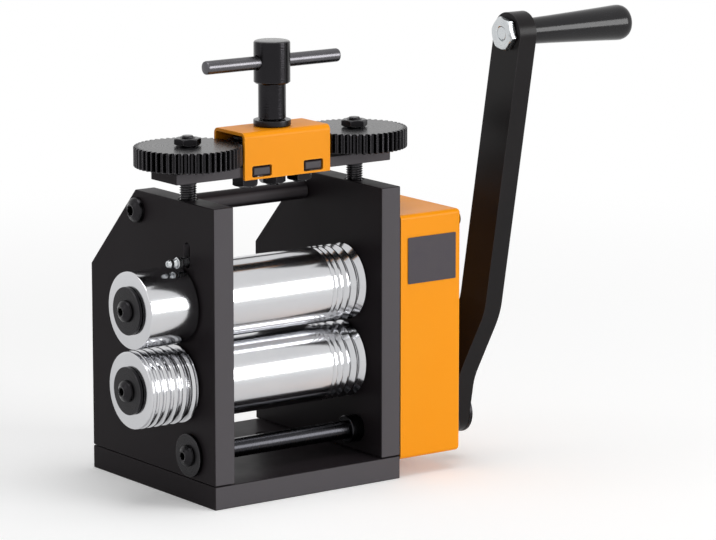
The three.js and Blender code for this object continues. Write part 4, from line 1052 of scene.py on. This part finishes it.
@dataclass
class AdjustingTrain:
    """Bridge bar, bracket and the five gears that move both adjusting screws together."""

    bar_low: float = 136.3
    bar_thick: float = 4.5
    bar_half: float = 55.0
    bar_flat: float = 9.7        # half depth of the bar
    tab_tip: float = 11.5        # half depth across its tabs
    tab: float = 9.6
    tab_place: float = 13.2
    tab_round: float = 1.4
    gear_low: float = 142.2
    gear_width: float = 8.5
    gear_top: float = 151.0
    module: float = 0.875
    wheel_teeth: int = 50
    pinion_teeth: int = 16
    idler_x: float = 14.0
    spindle: float = 3.0
    pitch: float = 1.0           # of all threads here
    nut_low: float = 131.0
    nut_flats: float = 10.0
    nut_height: float = 5.0
    thin_nut: float = 3.0
    bracket: Place = (44.0, 23.0, 20.0)
    bracket_low: float = 135.2
    sheet: float = 1.5
    bend: float = 2.5
    cross_z: float = 182.5
    cross_half: float = 34.0
    cross_radius: float = 2.9

    def spot(self, x: float) -> Place:
        """A point on the axis of a spindle."""
        return (x, ROLL_Y, 0.0)

    def tab_ends(self, side: int, play: float = 0.0) -> tuple[float, float]:
        """Left and right side of a tab, or of its slot with play."""
        return (side * self.tab_place - self.tab / 2 - play,
                side * self.tab_place + self.tab / 2 + play)

    def make_bar(self) -> None:
        """Bridge bar, rounded along its edges, with tabs whose ends are well rounded off."""
        flat, tip, half = self.bar_flat, self.tab_tip, self.bar_half
        front = [point for low, high in (self.tab_ends(-1), self.tab_ends(1))
                 for point in ((low, -flat), (low, -tip), (high, -tip), (high, -flat))]
        back = [(x, -y) for x, y in reversed(front)]
        outline = [(-half, -flat), *front, (half, -flat), (half, flat), *back, (-half, flat)]
        made = Form.extruded(outline, self.bar_thick)
        made.softened(self.tab_round, 4, 50, lambda p: abs(p.y) > tip - 0.1).softened(0.4, 2)
        made.cut(*(drill(self.spindle + 0.25, 0, self.bar_thick, Axis.Z, 0.3).moved(x)
                   for x in (-SCREW_X, -self.idler_x, 0, self.idler_x, SCREW_X)))
        made.moved(0, ROLL_Y, self.bar_low).finished(
            "painted_bridge_bar", BLACK_PAINT, "head", ["bridge_bar"])

    def make_bracket(self) -> None:
        """Bent sheet bracket with slots for the bar's tabs."""
        length, depth, height = self.bracket
        half, inner, roof = depth / 2, depth / 2 - self.sheet, height - self.sheet
        channel = [(-half, 0), (-inner, 0), (-inner, roof), (inner, roof), (inner, 0),
                   (half, 0), (half, height), (-half, height)]
        inside = self.bend - self.sheet
        bends = {6: self.bend, 7: self.bend, 2: inside, 3: inside}
        made = Form.extruded(channel, length, Axis.X, bends, 6).moved(-length / 2)
        made.softened(0.25, 2, 50)
        low, high = 0.9, 1.1 + self.bar_thick + 0.2
        ends = [self.tab_ends(side, 0.25) for side in (-1, 1)]
        slots = [Form.block((left, -half - 1, low), (right, half + 1, high)).softened(0.8, 3, 60)
                 for left, right in ends]
        made.cut(*slots, drill(6.1, roof, height, Axis.Z, 0.2))
        made.moved(0, ROLL_Y, self.bracket_low).finished(
            "orange_bent_bracket", ORANGE_POWDER, "head", ["gear_bracket"])

    def axle(self, x: float, name: str) -> None:
        """Idler axle: headed pin with a screwed end and its nut."""
        r, top = self.spindle, self.gear_top
        pin = Form.turned([(0, 131.6), (r, 131.6), (r, top), (4.7, top), (5.0, 151.3),
                           (5.0, 152.1), (4.6, 152.5), (0, 152.5)], Axis.Z, 48)
        pin.united(thread(r, self.pitch, 130.0, 131.8)).moved(x, ROLL_Y)
        pin.finished(f"{name}_idler_pin", BLACK_OXIDE, "head", [f"idler_axle_{name}"], Axis.Z,
                     self.spot(x))
        self.nut(x, f"{name}_idler_hexagon_nut", "head", f"idler_nut_{name}", 18.0)

    def nut(self, x: float, name: str, body: str, node: str, turn: float,
            thin: bool = False) -> None:
        """Full nut under the bridge bar, or a thin one on a wheel."""
        low, height = ((self.gear_top, self.thin_nut) if thin
                       else (self.nut_low, self.nut_height))
        made = hex_nut(self.nut_flats, self.spindle + 0.05, height, Axis.Z, turn)
        made.moved(x, ROLL_Y, low).finished(name, BLACK_OXIDE, body, [node], Axis.Z,
                                            self.spot(x))

    def gear(self, teeth: int, x: float, name: str, body: str, node: str) -> None:
        """A gear of the train with its boss."""
        phase = math.pi / teeth if "idler" in node else 0.0
        made = Gear(teeth, self.module, self.gear_width, self.spindle + 0.3, 0.2, phase, 0.4)
        form = made.made(Axis.Z, (6.0, -1.1, 1.0)).moved(x, ROLL_Y, self.gear_low)
        form.finished(name, BLACK_OXIDE, body, [node], Axis.Z, self.spot(x))

    def make_screw(self, side: int, name: str) -> None:
        """Adjusting screw with its large gear and thin nut."""
        x, body = side * SCREW_X, f"screw_{name}"
        core = Form.turned([
            (0, 108.8), (2.6, 108.8), (3.05, 109.3), (3.05, 134.4), (3.6, 134.6), (3.6, 136.0),
            (3.0, 136.0), (3.0, 153.9), (0, 153.9),
        ], Axis.Z, 48)
        tip = Form.turned([(0, 154.5), (2.5, 154.5), (2.2, 155.0), (0, 155.0)], Axis.Z, 48)
        core.united(thread(3.6, self.pitch, 109.6, 134.5), thread(3.0, self.pitch, 153.2, 154.6),
                    tip)
        core.moved(x, ROLL_Y).finished(
            f"{name}_threaded_screw", BLACK_OXIDE, body, [f"adjusting_screw_{name}"], Axis.Z,
            self.spot(x))
        self.gear(self.wheel_teeth, x, f"{name}_toothed_wheel", body, f"adjusting_gear_{name}")
        self.nut(x, f"{name}_thin_hexagon_nut", body, f"adjusting_nut_{name}", 8.0, True)

    def make_handle(self) -> None:
        """T-handle with its cross bar, pinion, flanged bush and nut."""
        bush = Form.turned([
            (4.3, 153.3), (5.8, 153.3), (5.8, 155.5), (8.0, 155.5), (8.0, 158.0), (4.3, 158.0),
            (4.3, 153.3),
        ], Axis.Z, 64).softened(0.3, 2).moved(0, ROLL_Y)
        bush.finished("flanged_handle_bush", BLACK_OXIDE, "head", ["handle_bush"], Axis.Z,
                      self.spot(0))
        shaft = Form.turned([
            (0, 131.6), (3.0, 131.6), (3.0, 151.0), (4.0, 151.0), (4.0, 158.3), (5.5, 158.3),
            (5.9, 158.7), (5.9, 172.9), (6.2, 173.4), (7.2, 173.5), (7.8, 174.1), (7.8, 190.6),
            (7.5, 191.2), (6.9, 191.5), (0, 191.5),
        ], Axis.Z, 96)
        bore = drill(3.0, -7.75, 7.75, Axis.X, 0.35).moved(0, 0, self.cross_z)
        shaft.united(thread(3.0, self.pitch, 130.0, 131.8)).cut(bore)
        shaft.moved(0, ROLL_Y).finished("turned_t_handle", BUFFED_BLACK, "t_handle",
                                        ["t_handle_spindle"], Axis.Z, self.spot(0))
        end, r = self.cross_half, self.cross_radius
        cross = Form.turned([
            (0, -end), (2.2, -end), (2.7, -33.8), (r, -33.2), (r, 33.2), (2.7, 33.8), (2.2, end),
            (0, end),
        ], Axis.X, 56).moved(0, ROLL_Y, self.cross_z)
        cross.finished("t_handle_tommy_bar", DRAWN_STEEL, "t_handle", ["t_handle_cross_bar"],
                       Axis.X, (0, ROLL_Y, self.cross_z))
        self.gear(self.pinion_teeth, 0.0, "t_handle_small_wheel", "t_handle", "t_handle_pinion")
        self.nut(0.0, "t_handle_hexagon_nut", "t_handle", "t_handle_nut", 42.0)

    def make(self) -> None:
        """Makes the whole head of the mill."""
        self.make_bar()
        self.make_bracket()
        for side, name in SIDES:
            x = side * self.idler_x
            self.make_screw(side, name)
            self.axle(x, name)
            self.gear(self.pinion_teeth, x, f"{name}_idler_wheel", f"idler_{name}",
                      f"idler_gear_{name}")
        self.make_handle()


@dataclass
class Gearbox:
    """Sheet cover over the gears with its screws and an unprinted label plate."""

    inner: float = 48.3
    outer: float = 80.5
    front: float = -47.5
    back: float = 5.5
    low: float = 8.0
    high: float = 115.0
    wall: float = 1.5
    corner: float = 2.0
    soft: float = 1.6            # rounding of the outer face's edges
    hub: float = 7.8
    screw_hole: float = 2.3
    screw_seat: float = 0.3      # between the cover and a screw's seat
    label: tuple[float, float, float, float] = (51.9, 77.4, 84.9, 105.1)     # X and Z
    label_thick: float = 0.35

    def prism(self, inset: float, radius: float, arc: int) -> Form:
        """The cover's outline, drawn in by an inset, with rounded corners."""
        y0, y1 = self.front + inset, self.back - inset
        z0, z1 = self.low + inset, self.high - inset
        rounded = dict.fromkeys(range(4), radius)
        return Form.extruded([(y0, z0), (y1, z0), (y1, z1), (y0, z1)], self.outer - self.inner,
                             Axis.X, rounded, arc)

    def make(self) -> None:
        """Makes the cover, its label plate and its four screws."""
        w, outer = self.wall, self.outer
        shell = self.prism(0.0, self.corner, 8).moved(self.inner)
        shell.softened(self.soft, 4, 50, lambda p: p.x > outer - 0.1)
        shell.cut(self.prism(w, 0.5, 3).moved(self.inner - w))
        shell.cut(drill(self.hub, outer - w, outer, Axis.X, 0.25).moved(0, CRANK_Y, CRANK_Z),
                  *(drill(self.screw_hole, outer - w, outer, Axis.X, 0.2).moved(0, y, z)
                    for y, z in COVER_SCREWS))
        shell.finished("orange_gearbox_cover", ORANGE_POWDER, "frame", ["gearbox_cover"])
        x0, x1, low, high = self.label
        plate = Form.block((x0, self.front - self.label_thick, low), (x1, self.front + 0.1, high))
        plate.softened(1.2, 4, 60, lambda p: abs(p.y - self.front) < 0.3).healed()
        plate.finished("blank_label_plate", BLANK_LABEL, "frame", [])
        for number, (y, z) in enumerate(COVER_SCREWS, 1):
            COVER_SCREW.fitted(1, (outer + self.screw_seat, y, z), f"cover_socket_screw_{number}",
                               "frame", f"gearbox_cover_screw_{number}")


@dataclass
class Crank:
    """Crank shaft, pinion, joggled arm and turning grip."""

    arm_x: float = 83.5
    lean: float = 10.8
    length: float = 174.0
    width: float = 18.0
    thick: float = 9.0
    offset: float = 10.0
    joggle: tuple[float, float] = (20.0, 48.5)
    bend_radius: float = 30.0
    shaft: float = 5.0
    key_width: float = 3.0
    screw_seats: tuple[float, float] = (-48.3, 92.8)
    grip_start: float = 19.3
    grip_length: float = 55.0
    pin: float = 3.0
    pitch: float = 1.0

    def on_arm(self, form: Form) -> Form:
        """Stands a form that was made along +Z from the shaft on the leaning arm."""
        return form.spun(self.lean, "X").moved(self.arm_x, CRANK_Y, CRANK_Z)

    def grip_axis(self) -> Place:
        """A point on the axis of the grip."""
        tilt = math.radians(self.lean)
        return (0.0, CRANK_Y - self.length * math.sin(tilt),
                CRANK_Z + self.length * math.cos(tilt))

    def key(self, start: float, end: float, grow: float = 0.0) -> Form:
        """Key in the crank shaft, or its slot when grown."""
        half = self.key_width / 2 + grow
        return Form.block((start - grow, -half, self.shaft - half),
                          (end + grow, half, self.shaft + half))

    def make_shaft(self) -> None:
        """Crank shaft with its two end screws and pinion."""
        r = self.shaft
        shaft = Form.turned([
            (0, -47.7), (3.7, -47.7), (4.1, -47.3), (4.1, 31.7), (5.7, 31.7), (6.0, 32.0),
            (6.0, 37.4), (5.7, 37.7), (r, 37.7), (r, 91.8), (4.6, 92.2), (0, 92.2),
        ], Axis.X, 64)
        shaft.united(self.key(49.9, 59.9), self.key(84.5, 91.5))
        shaft.cut(bar(2.8, -48.7, -37.1, Axis.X, 32), bar(2.8, 81.6, 93.2, Axis.X, 32))
        centre = (0.0, CRANK_Y, CRANK_Z)
        shaft.moved(*centre).finished("turned_crank_shaft", BLUED_STEEL, "crank",
                                      ["crank_shaft"], Axis.X, centre)
        teeth = 14
        phase = math.atan2(CRANK_Z - LOWER_Z, CRANK_Y - ROLL_Y) + math.pi + math.pi / teeth
        pinion = Gear(teeth, 1.25, 12.0, r + 0.3, 0.3, phase, 0.5)
        form = pinion.made(Axis.X, (7.5, 11.0, 34.3)).moved(48.9).cut(self.key(47.9, 59.9, 0.2))
        form.moved(*centre).finished("milled_crank_pinion", MACHINED_STEEL, "crank",
                                     ["crank_pinion"], Axis.X, centre)
        for side, x, name, node in zip((-1, 1), self.screw_seats, ("shaft", "arm"),
                                       ("crank_shaft_screw", "crank_arm_screw")):
            SHAFT_SCREW.fitted(side, (x, CRANK_Y, CRANK_Z), f"{name}_washer_screw", "crank", node)

    def edge(self, distance: float, steps: int = 10) -> list[tuple[float, float]]:
        """One face of the joggled bar as a line in X and Z, from the shaft's end upwards.

        Args:
            distance: Distance of the face from the bar's middle line.
            steps: Lines in each bend.

        Returns:
            Its points.
        """
        low, high = self.joggle
        turn = math.atan2(self.offset, high - low)
        radius, middle, reach = self.bend_radius, self.thick / 2, self.width / 2 + 1
        setback = radius * math.tan(turn / 2)
        angles = [turn * step / steps for step in range(steps + 1)]
        lower = [(middle + radius - (radius - distance) * math.cos(a),
                  low - setback + (radius - distance) * math.sin(a)) for a in angles]
        upper = [(self.offset + middle - radius + (radius + distance) * math.cos(a),
                  high + setback - (radius + distance) * math.sin(a)) for a in reversed(angles)]
        return [(middle + distance, -reach), *lower, *upper,
                (self.offset + middle + distance, self.length + reach)]

    def make_arm(self) -> None:
        """Flat bar with a joggle, round ends and softened edges."""
        t, o, half, far = self.thick, self.offset, self.width / 2, self.length + self.width / 2
        side = Form()
        profile = self.edge(t / 2) + self.edge(-t / 2)[::-1]
        side.mesh.faces.new([side.mesh.verts.new((x, -half, z)) for x, z in profile])
        side.raised(Vector((0, 2 * half, 0)))
        outline = [(-half, -half), (half, -half), (half, far), (-half, far)]
        ends = dict.fromkeys(range(4), half - 0.01)
        flat = Form.extruded(outline, o + t + 2, Axis.X, ends, 16).moved(-1)
        arm = side.shared(flat).healed(1e-3).softened(0.7, 3, 40)
        arm.cut(drill(self.shaft + 0.3, 0, t, Axis.X, 0.4),
                drill(self.pin + 0.3, o, o + t, Axis.X, 0.3).moved(0, 0, self.length))
        arm.cut(self.key(-2, t + 2, 0.2).spun(-self.lean, "X"))
        self.on_arm(arm).finished("joggled_crank_arm", BLACK_ENAMEL, "crank", ["crank_arm"])

    def make_grip(self) -> None:
        """Grip pin with its nut, and the tapered grip that turns on it."""
        top, r = self.grip_axis(), self.pin
        s, e = self.grip_start, self.grip_start + self.grip_length
        head = e - 8
        pin = Form.turned([(0, 8.4), (r, 8.4), (r, head), (4.6, head), (4.8, head + 0.2),
                           (4.8, head + 2.6), (4.4, head + 3), (0, head + 3)], Axis.X, 48)
        pin.united(thread(r, self.pitch, 6.9, 8.6, Axis.X))
        pin.cut(Form.block((head + 2, -5, -0.6), (head + 4, 5, 0.6)))
        nut = hex_nut(13.0, r + 0.05, 3.0, Axis.X, 0.0).moved(6.7)
        bore = r + 0.3
        grip = Form.turned([
            (bore, s), (4.8, s), (5.3, s + 0.25), (5.5, s + 0.8), (5.9, s + 12), (6.6, s + 28),
            (7.3, e - 12), (7.58, e - 7), (7.7, e - 4.4), (7.64, e - 3.1), (7.35, e - 1.8),
            (6.8, e - 0.8), (6.1, e - 0.2), (5.4, e), (5.1, e), (5.1, e - 8.3), (bore, e - 8.3),
            (bore, s),
        ], Axis.X, 96)
        for form, name, finish, body, node, sharp in (
                (pin, "zinc_grip_pin", ZINC, "crank", "grip_bolt", 32.0),
                (nut, "zinc_hexagon_nut", ZINC, "crank", "grip_nut", 32.0),
                (grip, "moulded_crank_grip", BLACK_PLASTIC, "grip", "crank_grip", 40.0)):
            self.on_arm(form.moved(0, 0, self.length)).finished(
                name, finish, body, [node], Axis.X, top, sharp)

    def make(self) -> None:
        """Makes the crank and its grip."""
        self.make_shaft()
        self.make_arm()
        self.make_grip()


# Studio

@dataclass
class Studio:
    """Pale floor, soft lamps and the camera at the photograph's angle."""

    azimuth: float = -35.99
    elevation: float = 11.07
    aim: Place = (0.0, -7.5, 90.0)
    distance: float = 1720.5
    across: float = 44.2
    up: float = 0.80
    focal_pixels: float = 4016.8
    floor_reach: float = 4.0     # m to the edge of the floor
    floor_fade: tuple[float, float] = (0.22, 0.75)       # m where it starts and ends to turn white
    floor_colour: str = "#f4f4f4"
    lamps: Sequence[tuple[str, Place, float, float, float]] = field(default=(
        # name, place in m from the object, width and height in m, power in W
        ("front softbox", (1.0, -1.42, 0.43), 0.8, 0.8, 16.0),
        ("left strip", (-1.7, 0.55, 0.7), 0.45, 1.3, 1.5),
        ("overhead softbox", (0.1, -0.15, 1.9), 1.2, 1.2, 14.0),
    ))
    world_level: float = 0.36
    floor_lift: float = 0.22     # light that the floor shows but doesn't cast

    def make_camera(self) -> None:
        """Camera at the place that the photograph was taken from."""
        a, e = math.radians(self.azimuth), math.radians(self.elevation)
        back = Vector((math.sin(a) * math.cos(e), -math.cos(a) * math.cos(e), math.sin(e)))
        right = Vector((math.cos(a), math.sin(a), 0.0))
        top = back.cross(right)
        eye = Vector(self.aim) + back * self.distance + right * self.across + top * self.up
        data = bpy.data.cameras.new("photograph")
        data.sensor_width = 36.0
        data.lens = self.focal_pixels / PHOTO_WIDTH * data.sensor_width
        data.clip_start, data.clip_end = 0.1, 50.0
        camera = bpy.data.objects.new("photograph", data)
        turn = Matrix((right, top, back)).transposed().to_4x4()
        camera.matrix_world = Matrix.Translation(eye * MM) @ turn
        bpy.context.scene.collection.objects.link(camera)
        bpy.context.scene.camera = camera

    def make_floor(self) -> None:
        """Round pale floor that fades to plain white away from the object."""
        floor = Form()
        bmesh.ops.create_circle(floor.mesh, cap_ends=True, segments=96,
                                radius=self.floor_reach / MM)
        data = bpy.data.meshes.new("studio floor")
        bmesh.ops.scale(floor.mesh, verts=floor.mesh.verts[:], vec=(MM, MM, MM))
        floor.mesh.to_mesh(data)
        made = bpy.data.objects.new("studio_floor", data)
        bpy.context.scene.collection.objects.link(made)
        material = bpy.data.materials.new("pale matt floor")
        material.use_nodes = True
        tree = material.node_tree
        tree.nodes.clear()
        place = add(tree, "TexCoord").outputs["Object"]
        reach = add(tree, "VectorMath", {"operation": "LENGTH"}, {0: place}).outputs["Value"]
        start, end = self.floor_fade
        fade = add(tree, "MapRange", {
            "From Min": start, "From Max": end, "interpolation_type": "SMOOTHSTEP",
        }, {"Value": reach}).outputs[0]
        sees = self._seen(tree)
        factor = add(tree, "Math", {"operation": "MULTIPLY"}, {0: fade, 1: sees}).outputs[0]
        matt = add(tree, "BsdfDiffuse", {"Color": linear(self.floor_colour)})
        lift = add(tree, "Math", {"operation": "MULTIPLY", 1: self.floor_lift},
                   {0: sees}).outputs[0]
        veil = add(tree, "Emission", None, {"Strength": lift})
        near = add(tree, "AddShader", None, {0: matt.outputs[0], 1: veil.outputs[0]})
        glow = add(tree, "Emission", {"Strength": 1.0})
        mix = add(tree, "MixShader", None, {0: factor, 1: near.outputs[0], 2: glow.outputs[0]})
        add(tree, "OutputMaterial", None, {"Surface": mix.outputs[0]})
        made.data.materials.append(material)

    def _seen(self, tree: bpy.types.NodeTree) -> bpy.types.NodeSocket:
        """1 for what the camera, a reflection or clear glass shows, 0 for light that falls."""
        rays = add(tree, "LightPath").outputs
        pair = add(tree, "Math", {"operation": "MAXIMUM"},
                   {0: rays["Is Camera Ray"], 1: rays["Is Glossy Ray"]}).outputs[0]
        return add(tree, "Math", {"operation": "MAXIMUM"},
                   {0: pair, 1: rays["Is Transmission Ray"]}).outputs[0]

    def make_world(self) -> None:
        """White backdrop that lights the object at a lower level."""
        world = bpy.data.worlds.new("white studio")
        bpy.context.scene.world = world
        world.use_nodes = True
        tree = world.node_tree
        tree.nodes.clear()
        level = add(tree, "MapRange", {"To Min": self.world_level, "To Max": 1.0},
                    {"Value": self._seen(tree)})
        glow = add(tree, "Background", {"Color": linear("#ffffff")},
                   {"Strength": level.outputs[0]})
        add(tree, "OutputWorld", None, {"Surface": glow.outputs[0]})

    def make_lamps(self) -> None:
        """Soft area lamps, each turned to the middle of the mill."""
        target = Vector(self.aim) * MM
        for name, place, width, height, power in self.lamps:
            data = bpy.data.lights.new(name, "AREA")
            data.shape = "RECTANGLE"
            data.size, data.size_y, data.energy = width, height, power
            lamp = bpy.data.objects.new(name, data)
            lamp.location = Vector(place)
            lamp.rotation_mode = "QUATERNION"
            lamp.rotation_quaternion = (target - Vector(place)).to_track_quat("-Z", "Y")
            bpy.context.scene.collection.objects.link(lamp)

    def make(self) -> None:
        """Sets up the whole studio."""
        bpy.context.scene.view_settings.view_transform = "Standard"
        self.make_camera()
        self.make_floor()
        self.make_world()
        self.make_lamps()


def main() -> None:
    """Builds the studio and every sub-assembly in order."""
    logging.basicConfig(level=logging.INFO, format="%(name)s: %(message)s")
    for assembly in (Studio(), Frame(), Rolls(), AdjustingTrain(), Gearbox(), Crank()):
        assembly.make()
        log.info("%s is in place", type(assembly).__name__)


if __name__ == "__main__":
    main()
